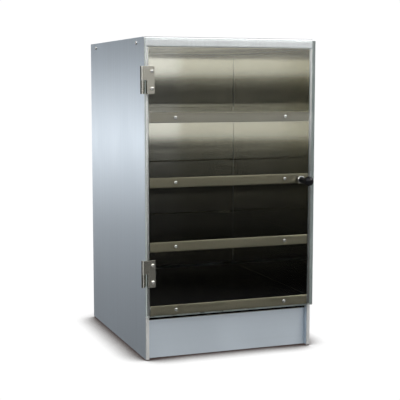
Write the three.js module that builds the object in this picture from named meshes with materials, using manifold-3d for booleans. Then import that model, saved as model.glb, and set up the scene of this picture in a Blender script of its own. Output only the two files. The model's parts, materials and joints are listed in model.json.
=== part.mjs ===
// Countertop heated holding cabinet: folded stainless skins over a liner, four fixed shelves,
// a clear door on two lift-off hinges, and the heater, fan and controls in the base.
// Millimetres, +Z up, the door faces -Y and its hinges are on the -X side.
// The origin is on the standing surface, under the middle of the whole object's box.

import * as THREE from 'three';
import { mergeVertices } from 'three/addons/utils/BufferGeometryUtils.js';
import Module from 'manifold-3d';

// Body
const WIDTH = 345;
const DEPTH = 400;
const HEIGHT = 610;
const SKIN = 1.0;
const LINER = 0.8;
const BEND = 1.4;
const GAP = 0.3;
const SKIN_BOTTOM = 2;
const FLANGE = 7.5;
const FLANGE_RETURN = 10.5;
const TOP_FLANGE = 18;

// Chamber
const SHELF_COUNT = 4;
const TOP_SHELF_Z = 470.5;
const SHELF_PITCH = 121.7;
const SHELF_FLANGE = 19.5;
const SHELF_RETURN = 8;
const SHELF_SIDE_FLANGE = 11;
const REAR_AIR_GAP = 16;
const SHELF_SCREW_X = 112.8;
const LINER_BACK_Y = 194.4;
const CEILING_Z = 590.7;
const CHAMBER_FLOOR_Z = 86;

// Base
const KICK_RECESS = 11;
const KICK_TOP = 77;
const KICK_LEDGE = 13;
const PAN_Z = 6;
const PAN_FLANGE = 14;
const FOOT_RADIUS = 8;

// Door
const DOOR_GAP = 4;
const PANE = 6;
const PANE_BOTTOM = 85.5;
const PANE_TOP = 606.5;
const PANE_OVERHANG = 1;
const HINGE_HEIGHT = 51;
const HINGE_CENTRES = { upper: 530.5, lower: 169 };
const HINGE_AXIS_OUT = 7;
const BARREL_RADIUS = 3.2;
const LEAF = 1.2;
const LEAF_REACH = 16.5;
const PIN_RADIUS = 1.5;
const LEAF_SCREW_X = 11;
const LEAF_SCREW_RISE = 16;
const KNOB_FROM_EDGE = 28;
const KNOB_Z = 337;
const BALL_RADIUS = 9.3;
const BALL_OUT = 34;

// Fasteners
const HEAD_RADIUS = 3.5;
const HEAD_HEIGHT = 2;
const SHANK_RADIUS = 2;
const SHANK_HOLE = 2.4;

// Heater and fan in the base
const HEATER = { x: -75, z: 38, spread: 24, front: -110, rear: 150, radius: 3.8 };
const FAN = { x: 55, y: 40, z: 45 };

// Rear controls
const CONTROL_Z = 50;
const INLET = { x: 128, width: 48, height: 27 };
const SWITCH = { x: 76, width: 22, height: 30 };
const LAMP = { x: 44, radius: 6 };
const THERMOSTAT = { x: 0, knobRadius: 17, knobDepth: 15 };

const HALF = WIDTH / 2;
const FRONT = -DEPTH / 2;
const BACK = DEPTH / 2;
const SKIN_INSIDE = HALF - SKIN;
const FLANGE_EDGE = HALF - FLANGE;
const WALL_X = FLANGE_EDGE - GAP - LINER;
const TOP_FLANGE_BOTTOM = HEIGHT - TOP_FLANGE;
const PANE_REAR = FRONT - DOOR_GAP;
const PANE_FRONT = PANE_REAR - PANE;
const LEAF_FRONT = PANE_FRONT - GAP - LEAF;
const AXIS_X = -HALF - HINGE_AXIS_OUT;
const AXIS_Y = LEAF_FRONT + BARREL_RADIUS;
const KNOB_X = HALF - KNOB_FROM_EDGE;
const BACK_PANEL_Y = BACK - SKIN - GAP - LINER;
const FRONT_MOST = PANE_FRONT - BALL_OUT - BALL_RADIUS;
const REAR_MOST = BACK_PANEL_Y + LINER + GAP + THERMOSTAT.knobDepth;
const LEFT_MOST = AXIS_X - BARREL_RADIUS;
const RIGHT_MOST = HALF + GAP + HEAD_HEIGHT;

const wasm = await Module();
wasm.setup();

const metal = (color, roughness) => ({ color, roughness, metalness: 1 });
const plain = (color, roughness) => ({ color, roughness, metalness: 0 });
const FINISH = {
  skin: metal(0xc4ccd4, 0.36),
  liner: metal(0xbcbaae, 0.26),
  shelf: metal(0xa9a89c, 0.32),
  hinge: metal(0xb9b6a6, 0.38),
  screw: metal(0xdadad6, 0.22),
  chrome: metal(0xe2e3e4, 0.1),
  zinc: metal(0xa4a9ac, 0.45),
  pane: { ...plain(0xe6efee, 0.04), transparent: true, opacity: 0.3 },
  blackGloss: plain(0x0b0b0c, 0.12),
  blackMatt: plain(0x18191a, 0.6),
  rubber: plain(0x1c1c1c, 0.85),
  wool: plain(0xd8c98e, 1),
  lamp: plain(0xb02010, 0.2),
};

// Turns a closed geometry into a solid that can be joined and cut.
function solid(geometry) {
  const bare = geometry.clone();
  bare.deleteAttribute('normal');
  bare.deleteAttribute('uv');
  const merged = mergeVertices(bare, 1e-4);
  return new wasm.Manifold(new wasm.Mesh({
    numProp: 3,
    vertProperties: new Float32Array(merged.attributes.position.array),
    triVerts: new Uint32Array(merged.index.array),
  }));
}

// Joins the added geometries to the first one, then cuts the removed ones from it.
function combine(first, added, removed = []) {
  let body = solid(first);
  for (const piece of added) body = body.add(solid(piece));
  for (const piece of removed) body = body.subtract(solid(piece));
  const mesh = body.getMesh();
  const geometry = new THREE.BufferGeometry();
  geometry.setAttribute('position', new THREE.BufferAttribute(mesh.vertProperties, 3));
  geometry.setIndex(new THREE.BufferAttribute(mesh.triVerts, 1));
  geometry.computeVertexNormals();
  return geometry;
}

// A box given by its lowest and highest corners.
function block(low, high) {
  const size = high.map((value, i) => value - low[i]);
  const geometry = new THREE.BoxGeometry(...size);
  geometry.translate(...low.map((value, i) => value + size[i] / 2));
  return geometry;
}

// A round bar along one axis, centred on the given point.
function rod(axis, radius, length, centre, sides = 16) {
  const geometry = new THREE.CylinderGeometry(radius, radius, length, sides);
  if (axis === 'x') geometry.rotateZ(Math.PI / 2);
  if (axis === 'z') geometry.rotateX(Math.PI / 2);
  geometry.translate(...centre);
  return geometry;
}

// Points along the middle of a folded sheet, with a round bend at each inner corner.
function bentPath(corners, radius, steps = 3) {
  const points = corners.map(([u, v]) => new THREE.Vector2(u, v));
  const path = [{ point: points[0], along: points[1].clone().sub(points[0]).normalize() }];
  for (let i = 1; i < points.length - 1; i += 1) {
    const before = points[i].clone().sub(points[i - 1]).normalize();
    const after = points[i + 1].clone().sub(points[i]).normalize();
    const turn = Math.atan2(before.cross(after), before.dot(after));
    const setback = radius * Math.tan(Math.abs(turn) / 2);
    const start = points[i].clone().addScaledVector(before, -setback);
    const inward = new THREE.Vector2(-before.y, before.x).multiplyScalar(Math.sign(turn));
    const centre = start.clone().addScaledVector(inward, radius);
    for (let step = 0; step <= steps; step += 1) {
      const angle = (turn * step) / steps;
      const point = start.clone().rotateAround(centre, angle);
      path.push({ point, along: before.clone().rotateAround(new THREE.Vector2(), angle) });
    }
  }
  const last = points.length - 1;
  path.push({ point: points[last], along: points[last].clone().sub(points[last - 1]).normalize() });
  return path;
}

// The closed outline of a folded sheet of even thickness.
function foldedOutline(corners, thickness, radius = BEND) {
  const path = bentPath(corners, radius);
  const side = (sign) => path.map(({ point, along }) => new THREE.Vector2(
    point.x - (sign * along.y * thickness) / 2,
    point.y + (sign * along.x * thickness) / 2,
  ));
  return new THREE.Shape([...side(1), ...side(-1).reverse()]);
}

// Pulls an outline drawn in two axes along the third: 'z' takes (x, y), 'x' takes (y, z), 'y' takes (x, z).
function pull(outline, axis, from, to) {
  const geometry = new THREE.ExtrudeGeometry(outline, { depth: to - from, steps: 1, bevelEnabled: false });
  if (axis === 'z') geometry.translate(0, 0, from);
  if (axis === 'x') {
    geometry.rotateY(Math.PI / 2);
    geometry.rotateX(Math.PI / 2);
    geometry.translate(from, 0, 0);
  }
  if (axis === 'y') {
    geometry.rotateX(Math.PI / 2);
    geometry.translate(0, to, 0);
  }
  return geometry;
}

// A pan-head screw made along +Y: the head's top is at HEAD_HEIGHT, the shank goes down to -length.
function panScrew(length, headRadius = HEAD_RADIUS) {
  const profile = [
    new THREE.Vector2(0, -length),
    new THREE.Vector2(SHANK_RADIUS, -length),
    new THREE.Vector2(SHANK_RADIUS, 0),
    new THREE.Vector2(headRadius, 0),
    new THREE.Vector2(headRadius, HEAD_HEIGHT * 0.45),
    new THREE.Vector2(headRadius * 0.75, HEAD_HEIGHT * 0.9),
    new THREE.Vector2(0, HEAD_HEIGHT),
  ];
  return combine(new THREE.LatheGeometry(profile, 12), []);
}

const group = new THREE.Group();

function place(name, geometry, finish, position = [0, 0, 0], rotation = [0, 0, 0]) {
  const mesh = new THREE.Mesh(geometry, new THREE.MeshStandardMaterial(FINISH[finish]));
  mesh.name = name;
  mesh.position.set(...position);
  mesh.rotation.set(...rotation);
  group.add(mesh);
}

const FACE_FRONT = [Math.PI, 0, 0];
const FACE_LEFT = [0, 0, Math.PI / 2];
const FACE_RIGHT = [0, 0, -Math.PI / 2];
const SIDE_SCREW_Z = HEIGHT - 10;
const SIDE_SCREWS_Y = { front: FRONT + 48, rear: BACK - 50 };

// One side skin: sheet, front flange with its return lip, and rear flange.
function sidePanel(side) {
  const middle = SKIN / 2;
  const corners = [
    [HALF - 8, BACK - middle],
    [HALF - middle, BACK - middle],
    [HALF - middle, FRONT + middle],
    [FLANGE_EDGE + middle, FRONT + middle],
    [FLANGE_EDGE + middle, FRONT + FLANGE_RETURN],
  ].map(([x, y]) => [side * x, y]);
  const skin = pull(foldedOutline(corners, SKIN), 'z', SKIN_BOTTOM, HEIGHT);
  const inner = side * (SKIN_INSIDE - GAP / 2);
  const low = Math.min(inner, side * (FLANGE_EDGE - 20));
  const high = Math.max(inner, side * (FLANGE_EDGE - 20));
  const notch = block([low, FRONT - 5, TOP_FLANGE_BOTTOM - GAP], [high, BACK + 5, HEIGHT + 5]);
  const corner = block(
    [Math.min(side * (SKIN_INSIDE - GAP), side * (HALF + 5)), FRONT - 5, HEIGHT],
    [Math.max(side * (SKIN_INSIDE - GAP), side * (HALF + 5)), BACK + 5, HEIGHT + 5],
  );
  const holes = Object.values(SIDE_SCREWS_Y).map(
    (y) => rod('x', SHANK_HOLE, 10, [side * HALF, y, SIDE_SCREW_Z]),
  );
  return combine(skin, [], [notch, corner, ...holes]);
}

function addSides() {
  for (const [name, side, facing] of [['left', -1, FACE_LEFT], ['right', 1, FACE_RIGHT]]) {
    place(`${name}_side_panel`, sidePanel(side), 'skin');
    for (const [end, y] of Object.entries(SIDE_SCREWS_Y)) {
      place(`${name}_side_screw_${end}`, panScrew(5), 'screw', [side * (HALF + GAP), y, SIDE_SCREW_Z], facing);
    }
  }
}

// Top skin: deep front flange with a return lip, rear flange, and side flanges inside the side skins.
function addTop() {
  const middle = SKIN / 2;
  const reach = SKIN_INSIDE - GAP;
  const corners = [
    [BACK - middle, TOP_FLANGE_BOTTOM],
    [BACK - middle, HEIGHT - middle],
    [FRONT + middle, HEIGHT - middle],
    [FRONT + middle, TOP_FLANGE_BOTTOM + middle],
    [FRONT + FLANGE_RETURN, TOP_FLANGE_BOTTOM + middle],
  ];
  const sheet = pull(foldedOutline(corners, SKIN), 'x', -reach, reach);
  const flanges = [-1, 1].map((side) => block(
    [Math.min(side * reach, side * (reach - SKIN)), FRONT + 12, TOP_FLANGE_BOTTOM + 1],
    [Math.max(side * reach, side * (reach - SKIN)), BACK - 12, HEIGHT - middle],
  ));
  const holes = [-1, 1].flatMap((side) => Object.values(SIDE_SCREWS_Y).map(
    (y) => rod('x', SHANK_HOLE, 10, [side * reach, y, SIDE_SCREW_Z]),
  ));
  place('top_panel', combine(sheet, flanges, holes), 'skin');
}

// Back panel with its openings for the rear controls, held inside the side panels' rear flanges.
function addBack() {
  const reach = SKIN_INSIDE - GAP;
  const sheet = block([-reach, BACK_PANEL_Y, SKIN_BOTTOM + 10], [reach, BACK_PANEL_Y + LINER, HEIGHT - 6]);
  const windowFor = ({ x, width, height }) => block(
    [x - width / 2 + 2, BACK_PANEL_Y - 5, CONTROL_Z - height / 2 + 2],
    [x + width / 2 - 2, BACK_PANEL_Y + 5, CONTROL_Z + height / 2 - 2],
  );
  const holes = [
    windowFor(INLET),
    windowFor(SWITCH),
    rod('y', LAMP.radius - 1, 10, [LAMP.x, BACK_PANEL_Y, CONTROL_Z], 20),
    rod('y', 4, 10, [THERMOSTAT.x, BACK_PANEL_Y, CONTROL_Z], 20),
  ];
  place('back_panel', combine(sheet, [], holes), 'skin');
}

// Inner walls and ceiling of the heated chamber, and the pads in the side walls.
function addLiner() {
  const front = FRONT + 1.5;
  for (const [name, side] of [['left', -1], ['right', 1]]) {
    const faces = [side * WALL_X, side * (WALL_X + LINER)];
    place(`liner_${name}`, block(
      [Math.min(...faces), front, CHAMBER_FLOOR_Z],
      [Math.max(...faces), LINER_BACK_Y + LINER, CEILING_Z - GAP],
    ), 'liner');
    const pad = [side * (FLANGE_EDGE + 0.2), side * (SKIN_INSIDE - 0.7)];
    place(`insulation_${name}`, block(
      [Math.min(...pad), FRONT + FLANGE_RETURN + 2, CHAMBER_FLOOR_Z + 4],
      [Math.max(...pad), BACK - 8, CEILING_Z - 4],
    ), 'wool');
  }
  place('liner_back', block(
    [-WALL_X + GAP, LINER_BACK_Y, CHAMBER_FLOOR_Z],
    [WALL_X - GAP, LINER_BACK_Y + LINER, CEILING_Z - GAP],
  ), 'liner');
  place('liner_ceiling', block(
    [-WALL_X - LINER, front, CEILING_Z],
    [WALL_X + LINER, LINER_BACK_Y + LINER, CEILING_Z + LINER],
  ), 'liner');
}

// One shelf: deck, front flange with a return lip, and side flanges that rest against the liner.
function shelf(top) {
  const middle = SKIN / 2;
  const reach = WALL_X - GAP;
  const rear = LINER_BACK_Y - REAR_AIR_GAP;
  const corners = [
    [FRONT + SHELF_RETURN, top - SHELF_FLANGE + middle],
    [FRONT + middle, top - SHELF_FLANGE + middle],
    [FRONT + middle, top - middle],
    [rear, top - middle],
  ];
  const sheet = pull(foldedOutline(corners, SKIN), 'x', -reach, reach);
  const flanges = [-1, 1].map((side) => block(
    [Math.min(side * reach, side * (reach - SKIN)), FRONT + 20, top - SHELF_SIDE_FLANGE],
    [Math.max(side * reach, side * (reach - SKIN)), rear - 5, top - middle],
  ));
  const holes = [-1, 1].map(
    (side) => rod('y', SHANK_HOLE, 6, [side * SHELF_SCREW_X, FRONT, top - SHELF_FLANGE / 2]),
  );
  return combine(sheet, flanges, holes);
}

// The cross bar behind a shelf's front flange, which its two screws bite.
function crossBar(top) {
  const reach = WALL_X - 2 * GAP;
  const face = FRONT + SKIN + GAP + LEAF / 2;
  const corners = [
    [face, top - SHELF_FLANGE + SKIN + 2 * GAP],
    [face, top - SKIN - GAP - LEAF / 2],
    [face + 14, top - SKIN - GAP - LEAF / 2],
  ];
  const holes = [-1, 1].map(
    (side) => rod('y', SHANK_HOLE, 6, [side * SHELF_SCREW_X, face, top - SHELF_FLANGE / 2]),
  );
  return combine(pull(foldedOutline(corners, LEAF), 'x', -reach, reach), [], holes);
}

function addShelves() {
  for (let i = 0; i < SHELF_COUNT; i += 1) {
    const top = TOP_SHELF_Z - i * SHELF_PITCH;
    const number = i + 1;
    place(`shelf_${number}`, shelf(top), 'shelf');
    place(`crossbar_${number}`, crossBar(top), 'zinc');
    for (const [name, side] of [['left', -1], ['right', 1]]) {
      place(
        `shelf_${number}_screw_${name}`, panScrew(8), 'screw',
        [side * SHELF_SCREW_X, FRONT - GAP, top - SHELF_FLANGE / 2], FACE_FRONT,
      );
    }
  }
}

// Base: kick panel set back below the lowest shelf, bottom pan and feet.
function addBase() {
  const middle = SKIN / 2;
  const reach = SKIN_INSIDE - GAP;
  const kickFace = FRONT + KICK_RECESS + middle;
  const kick = foldedOutline([
    [kickFace, SKIN_BOTTOM],
    [kickFace, KICK_TOP - middle],
    [kickFace + KICK_LEDGE, KICK_TOP - middle],
  ], SKIN);
  place('kick_panel', pull(kick, 'x', -reach, reach), 'skin');
  const pan = foldedOutline([
    [-reach + middle, PAN_Z + PAN_FLANGE],
    [-reach + middle, PAN_Z + middle],
    [reach - middle, PAN_Z + middle],
    [reach - middle, PAN_Z + PAN_FLANGE],
  ], SKIN);
  place('bottom_pan', pull(pan, 'y', kickFace + middle + GAP, BACK_PANEL_Y - GAP), 'zinc');
  const foot = combine(new THREE.LatheGeometry([
    new THREE.Vector2(0, 0),
    new THREE.Vector2(FOOT_RADIUS - 1.5, 0),
    new THREE.Vector2(FOOT_RADIUS, 1.5),
    new THREE.Vector2(FOOT_RADIUS - 1, PAN_Z - GAP),
    new THREE.Vector2(0, PAN_Z - GAP),
  ], 20), []);
  const footY = { front: kickFace + middle + GAP + FOOT_RADIUS + 1, rear: BACK - 24 };
  for (const [end, y] of Object.entries(footY)) {
    for (const [name, side] of [['left', -1], ['right', 1]]) {
      place(`foot_${end}_${name}`, foot, 'rubber', [side * (HALF - 22), y, 0], [Math.PI / 2, 0, 0]);
    }
  }
}

// Fixed leaf: plate on the front flange, joggle out to the barrel, lower knuckle and its pin.
function fixedLeaf() {
  const half = HINGE_HEIGHT / 2;
  const plateY = FRONT - GAP - LEAF / 2;
  const plate = foldedOutline([
    [FLANGE_EDGE * -1 - 0.4, plateY],
    [-HALF - 2.6, plateY],
    [AXIS_X + 2.2, AXIS_Y + BARREL_RADIUS - LEAF],
    [AXIS_X, AXIS_Y + BARREL_RADIUS - LEAF],
  ], LEAF, 0.9);
  const knuckle = rod('z', BARREL_RADIUS, half - GAP, [AXIS_X, AXIS_Y, -(half + GAP) / 2], 24);
  const pin = rod('z', PIN_RADIUS, HINGE_HEIGHT - 4, [AXIS_X, AXIS_Y, 0]);
  return combine(pull(plate, 'z', -half, -GAP), [knuckle, pin]);
}

// Door leaf: upper knuckle with its bore, the plate over the pane, notched beside the lower knuckle.
function doorLeaf() {
  const half = HINGE_HEIGHT / 2;
  const right = -HALF + LEAF_REACH;
  const plate = block([AXIS_X, LEAF_FRONT, -half], [right, LEAF_FRONT + LEAF, half]);
  const knuckle = rod('z', BARREL_RADIUS, half, [AXIS_X, AXIS_Y, half / 2], 24);
  const notch = block([AXIS_X - 6, LEAF_FRONT - 3, -half - 1], [-HALF + 2, LEAF_FRONT + 9, GAP]);
  const bore = rod('z', PIN_RADIUS + 0.4, HINGE_HEIGHT + 9, [AXIS_X, AXIS_Y, 0]);
  const holes = [-1, 1].map((side) => rod(
    'y', SHANK_HOLE, 6, [-HALF + LEAF_SCREW_X, LEAF_FRONT, side * LEAF_SCREW_RISE],
  ));
  return combine(plate, [knuckle], [notch, bore, ...holes]);
}

function addDoor() {
  const screwZ = Object.entries(HINGE_CENTRES).flatMap(([name, z]) => [
    [`${name}_hinge_screw_top`, z + LEAF_SCREW_RISE],
    [`${name}_hinge_screw_bottom`, z - LEAF_SCREW_RISE],
  ]);
  const middle = (PANE_REAR + PANE_FRONT) / 2;
  const sheet = block([-HALF - PANE_OVERHANG, PANE_FRONT, PANE_BOTTOM], [HALF, PANE_REAR, PANE_TOP]);
  const holes = [
    ...screwZ.map(([, z]) => rod('y', SHANK_HOLE, PANE + 4, [-HALF + LEAF_SCREW_X, middle, z])),
    rod('y', SHANK_HOLE, PANE + 4, [KNOB_X, middle, KNOB_Z]),
  ];
  place('door_pane', combine(sheet, [], holes), 'pane');
  for (const [name, z] of Object.entries(HINGE_CENTRES)) {
    place(`${name}_hinge_fixed_leaf`, fixedLeaf(), 'hinge', [0, 0, z]);
    place(`${name}_hinge_door_leaf`, doorLeaf(), 'hinge', [0, 0, z]);
  }
  for (const [name, z] of screwZ) {
    place(name, panScrew(8), 'screw', [-HALF + LEAF_SCREW_X, LEAF_FRONT - GAP, z], FACE_FRONT);
  }
}

// Knob: black ball on a tapered neck over a bright ferrule, with its screw from behind the pane.
function addKnob() {
  const ferruleDepth = 2;
  const neck = GAP + ferruleDepth + GAP;
  const profile = [new THREE.Vector2(0, neck), new THREE.Vector2(6.2, neck), new THREE.Vector2(6.0, neck + 3)];
  const waist = Math.PI * 0.82;
  const steps = 9;
  for (let i = 0; i <= steps; i += 1) {
    const angle = waist * (1 - i / steps);
    profile.push(new THREE.Vector2(
      i === steps ? 0 : BALL_RADIUS * Math.sin(angle),
      BALL_OUT + BALL_RADIUS * Math.cos(angle),
    ));
  }
  const bore = rod('y', SHANK_HOLE, 12, [0, neck, 0]);
  const ball = combine(new THREE.LatheGeometry(profile, 24), [], [bore]);
  const at = [KNOB_X, PANE_FRONT, KNOB_Z];
  place('knob', ball, 'blackGloss', at, FACE_FRONT);
  const ferrule = combine(
    rod('y', 7, ferruleDepth, [0, GAP + ferruleDepth / 2, 0], 28), [], [rod('y', SHANK_HOLE, 9, [0, 0, 0])],
  );
  place('knob_ferrule', ferrule, 'chrome', at, FACE_FRONT);
  place('knob_screw', panScrew(PANE + 7, 3.2), 'screw', [KNOB_X, PANE_REAR + GAP, KNOB_Z]);
}

// Magnetic catch: the strike bar on the door's rear face and the magnet behind the right flange.
function addCatch() {
  const low = KNOB_Z - 15;
  const high = KNOB_Z + 15;
  place('strike_plate', block(
    [FLANGE_EDGE + 0.5, PANE_REAR + GAP, low], [HALF - 0.5, FRONT - GAP, high],
  ), 'zinc');
  place('catch_magnet', block(
    [FLANGE_EDGE + SKIN + GAP, FRONT + SKIN + GAP, low],
    [SKIN_INSIDE - GAP, FRONT + FLANGE_RETURN - 1, high],
  ), 'blackMatt');
}

// Sheathed hairpin element over the pan, with the bracket that holds it near its bend.
function addHeater() {
  const { x, z, spread, front, rear, radius } = HEATER;
  const points = [new THREE.Vector3(x - spread, rear, z)];
  const turns = 8;
  for (let i = 0; i <= turns; i += 1) {
    const angle = Math.PI * (1 + i / turns);
    points.push(new THREE.Vector3(x + spread * Math.cos(angle), front + spread * Math.sin(angle), z));
  }
  points.push(new THREE.Vector3(x + spread, rear, z));
  const section = new THREE.Shape();
  section.absarc(0, 0, radius, 0, Math.PI * 2);
  const tube = new THREE.ExtrudeGeometry(section, {
    steps: 60,
    curveSegments: 4,
    extrudePath: new THREE.CatmullRomCurve3(points, false, 'centripetal'),
  });
  place('heating_element', combine(tube, []), 'zinc');
  const saddle = z - radius - GAP - LEAF / 2;
  const base = PAN_Z + SKIN + GAP + LEAF / 2;
  const bracket = foldedOutline([[-15, saddle], [15, saddle], [15, base], [28, base]], LEAF);
  place('heater_bracket', pull(bracket, 'x', x - spread - 6, x + spread + 6), 'zinc', [0, front + 20, 0]);
}

// Circulation fan: motor on its foot, and the impeller on its shaft.
function addFan() {
  const { x, y, z } = FAN;
  const floor = PAN_Z + SKIN + GAP;
  const motor = combine(block([-24, 0, -22], [24, 34, 22]), [
    block([-20, 6, floor - z], [20, 28, -21]),
    rod('y', 13, 12, [0, -5, 0], 20),
    rod('y', 2.5, 24, [0, -11, 0], 12),
  ]);
  place('fan_motor', motor, 'blackMatt', [x, y, z]);
  const blades = [];
  const count = 5;
  for (let i = 0; i < count; i += 1) {
    const blade = new THREE.BoxGeometry(22, 1.2, 17);
    blade.rotateX(Math.PI / 5);
    blade.translate(18, 0, 0);
    blade.rotateY((i * 2 * Math.PI) / count);
    blades.push(blade);
  }
  const hub = rod('y', 10, 12, [0, 0, 0], 20);
  const impeller = combine(hub, blades, [rod('y', 2.9, 20, [0, 0, 0], 12)]);
  place('fan_impeller', impeller, 'zinc', [x, y - 19, z]);
}

// Rear controls: inlet, rocker switch, pilot lamp and thermostat with its knob.
function addControls() {
  const face = BACK_PANEL_Y + LINER + GAP;
  const inside = BACK_PANEL_Y - GAP;
  const bodyFor = ({ x, width, height }, lip, reach) => [
    block([x - width / 2, face, CONTROL_Z - height / 2], [x + width / 2, face + lip, CONTROL_Z + height / 2]),
    block(
      [x - width / 2 + 2 + GAP, inside - reach, CONTROL_Z - height / 2 + 2 + GAP],
      [x + width / 2 - 2 - GAP, face + 0.5, CONTROL_Z + height / 2 - 2 - GAP],
    ),
  ];
  const [inletLip, inletBody] = bodyFor(INLET, 3, 20);
  const socket = block([INLET.x - 13, face - 14, CONTROL_Z - 7.5], [INLET.x + 13, face + 5, CONTROL_Z + 7.5]);
  const contacts = [-7, 0, 7].map((dx) => block(
    [INLET.x + dx - 1, face - 15, CONTROL_Z - 2], [INLET.x + dx + 1, face - 2, CONTROL_Z + 2],
  ));
  place('power_inlet', combine(combine(inletLip, [inletBody], [socket]), contacts), 'blackMatt');

  const [switchLip, switchBody] = bodyFor(SWITCH, 2, 16);
  const well = block([SWITCH.x - 7.5, face - 9, CONTROL_Z - 11.5], [SWITCH.x + 7.5, face + 5, CONTROL_Z + 11.5]);
  place('switch_body', combine(switchLip, [switchBody], [well]), 'blackMatt');
  const rocker = new THREE.Shape([
    new THREE.Vector2(-5, -9.6), new THREE.Vector2(2, -9.6), new THREE.Vector2(1.2, 0),
    new THREE.Vector2(4.4, 9.8), new THREE.Vector2(-3.4, 9.8),
  ]);
  place('switch_rocker', pull(rocker, 'x', -7, 7), 'blackGloss', [SWITCH.x, face + 0.6, CONTROL_Z]);

  const lens = combine(rod('y', LAMP.radius, 2.5, [0, 1.25, 0], 20), [
    rod('y', LAMP.radius - 1.4, 16, [0, -6, 0], 20),
    rod('y', LAMP.radius - 2, 3, [0, 3, 0], 20),
  ]);
  place('pilot_lamp', lens, 'lamp', [LAMP.x, face, CONTROL_Z]);

  const thermostat = combine(
    block([-15, inside - 26, CONTROL_Z - 15], [15, inside, CONTROL_Z + 15]),
    [rod('y', 3, 16, [0, inside + 2, CONTROL_Z], 16)],
  );
  place('thermostat', thermostat, 'zinc', [THERMOSTAT.x, 0, 0]);
  const { knobRadius: radius, knobDepth: depth } = THERMOSTAT;
  const dial = new THREE.LatheGeometry([
    new THREE.Vector2(0, 0), new THREE.Vector2(radius, 0), new THREE.Vector2(radius, 3),
    new THREE.Vector2(radius - 4, 4.5), new THREE.Vector2(radius - 5, depth - 1),
    new THREE.Vector2(radius - 6, depth), new THREE.Vector2(0, depth),
  ], 32);
  const pointer = block([-1.2, 4, 5], [1.2, depth, radius - 1.5]);
  const shaftBore = rod('y', 3.4, 19, [0, 0, 0], 16);
  place('thermostat_knob', combine(dial, [pointer], [shaftBore]), 'blackMatt', [THERMOSTAT.x, face, CONTROL_Z]);
}

addSides();
addTop();
addBack();
addLiner();
addShelves();
addBase();
addDoor();
addKnob();
addCatch();
addHeater();
addFan();
addControls();

group.position.set(-(LEFT_MOST + RIGHT_MOST) / 2, -(FRONT_MOST + REAR_MOST) / 2, 0);

export default group;
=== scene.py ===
"""Looks of a countertop warming cabinet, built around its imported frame.

The cabinet is folded stainless sheet with a clear door on two lift-off hinges. Every class below is one
sub-assembly or one finish. Lengths are metres, +Z is up and the door faces -Y.
"""

import json
import logging
import math
from collections.abc import Callable, Iterable, Sequence
from dataclasses import dataclass, field
from enum import Enum

import bmesh
import bpy
from mathutils import Matrix, Vector

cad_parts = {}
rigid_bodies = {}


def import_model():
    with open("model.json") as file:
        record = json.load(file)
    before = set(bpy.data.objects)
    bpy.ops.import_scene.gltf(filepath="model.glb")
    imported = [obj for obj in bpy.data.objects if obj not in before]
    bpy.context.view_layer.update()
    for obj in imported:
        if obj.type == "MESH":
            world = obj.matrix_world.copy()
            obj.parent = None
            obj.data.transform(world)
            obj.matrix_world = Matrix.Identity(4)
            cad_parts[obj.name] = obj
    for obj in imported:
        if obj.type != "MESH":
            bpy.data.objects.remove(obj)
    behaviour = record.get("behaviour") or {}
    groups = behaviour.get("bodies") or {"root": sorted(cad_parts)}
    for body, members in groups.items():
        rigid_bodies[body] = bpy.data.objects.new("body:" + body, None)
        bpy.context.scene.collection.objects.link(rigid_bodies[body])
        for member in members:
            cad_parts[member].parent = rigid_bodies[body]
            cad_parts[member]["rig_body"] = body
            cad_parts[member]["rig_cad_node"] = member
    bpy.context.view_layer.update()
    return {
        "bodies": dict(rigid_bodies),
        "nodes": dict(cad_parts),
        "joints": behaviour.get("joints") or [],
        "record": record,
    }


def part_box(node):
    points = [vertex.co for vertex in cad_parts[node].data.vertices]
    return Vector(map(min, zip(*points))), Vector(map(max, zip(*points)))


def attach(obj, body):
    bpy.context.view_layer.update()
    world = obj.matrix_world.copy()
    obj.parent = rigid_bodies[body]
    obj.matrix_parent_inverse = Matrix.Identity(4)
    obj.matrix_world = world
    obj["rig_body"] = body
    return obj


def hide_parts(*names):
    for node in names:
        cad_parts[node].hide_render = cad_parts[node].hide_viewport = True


LOG = logging.getLogger("cabinet")
MM = 0.001
WELD = 0.001 * MM
TOUCH = 0.01 * MM
EDGE_EASE = 0.18
ROWS = (1, 2, 3, 4)
Pair = tuple[float, float]
Point = tuple[float, float, float]
Colour = tuple[float, float, float]


class Axis(Enum):
    """A direction of the cabinet's frame."""

    X = Vector((1, 0, 0))
    Y = Vector((0, 1, 0))
    Z = Vector((0, 0, 1))


class Facing(Enum):
    """The way that a fastener's head looks."""

    FRONT = Matrix.Rotation(math.pi, 4, "X")
    REAR = Matrix.Identity(4)
    LEFT = Matrix.Rotation(math.pi / 2, 4, "Z")
    RIGHT = Matrix.Rotation(-math.pi / 2, 4, "Z")


# ---------------------------------------------------------------------------------------------------------
# Bench tools: the few moves that every piece is made with
# ---------------------------------------------------------------------------------------------------------


def clear_selection() -> None:
    """Leave edit mode and deselect everything."""
    if bpy.context.object and bpy.context.object.mode != "OBJECT":
        bpy.ops.object.mode_set(mode="OBJECT")
    bpy.ops.object.select_all(action="DESELECT")


def take(obj: bpy.types.Object) -> bpy.types.Object:
    """Make one object the only selected and the active one."""
    clear_selection()
    obj.select_set(True)
    bpy.context.view_layer.objects.active = obj
    return obj


def settle(obj: bpy.types.Object, name: str) -> bpy.types.Object:
    """Name an object and put its place, turn and scale into its mesh.

    Args:
        obj: The object to settle.
        name: Its new name, which its mesh takes too.

    Returns:
        The same object, at the origin.
    """
    take(obj)
    bpy.ops.object.transform_apply(location=True, rotation=True, scale=True)
    obj.name = name
    obj.data.name = name
    return obj


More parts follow.
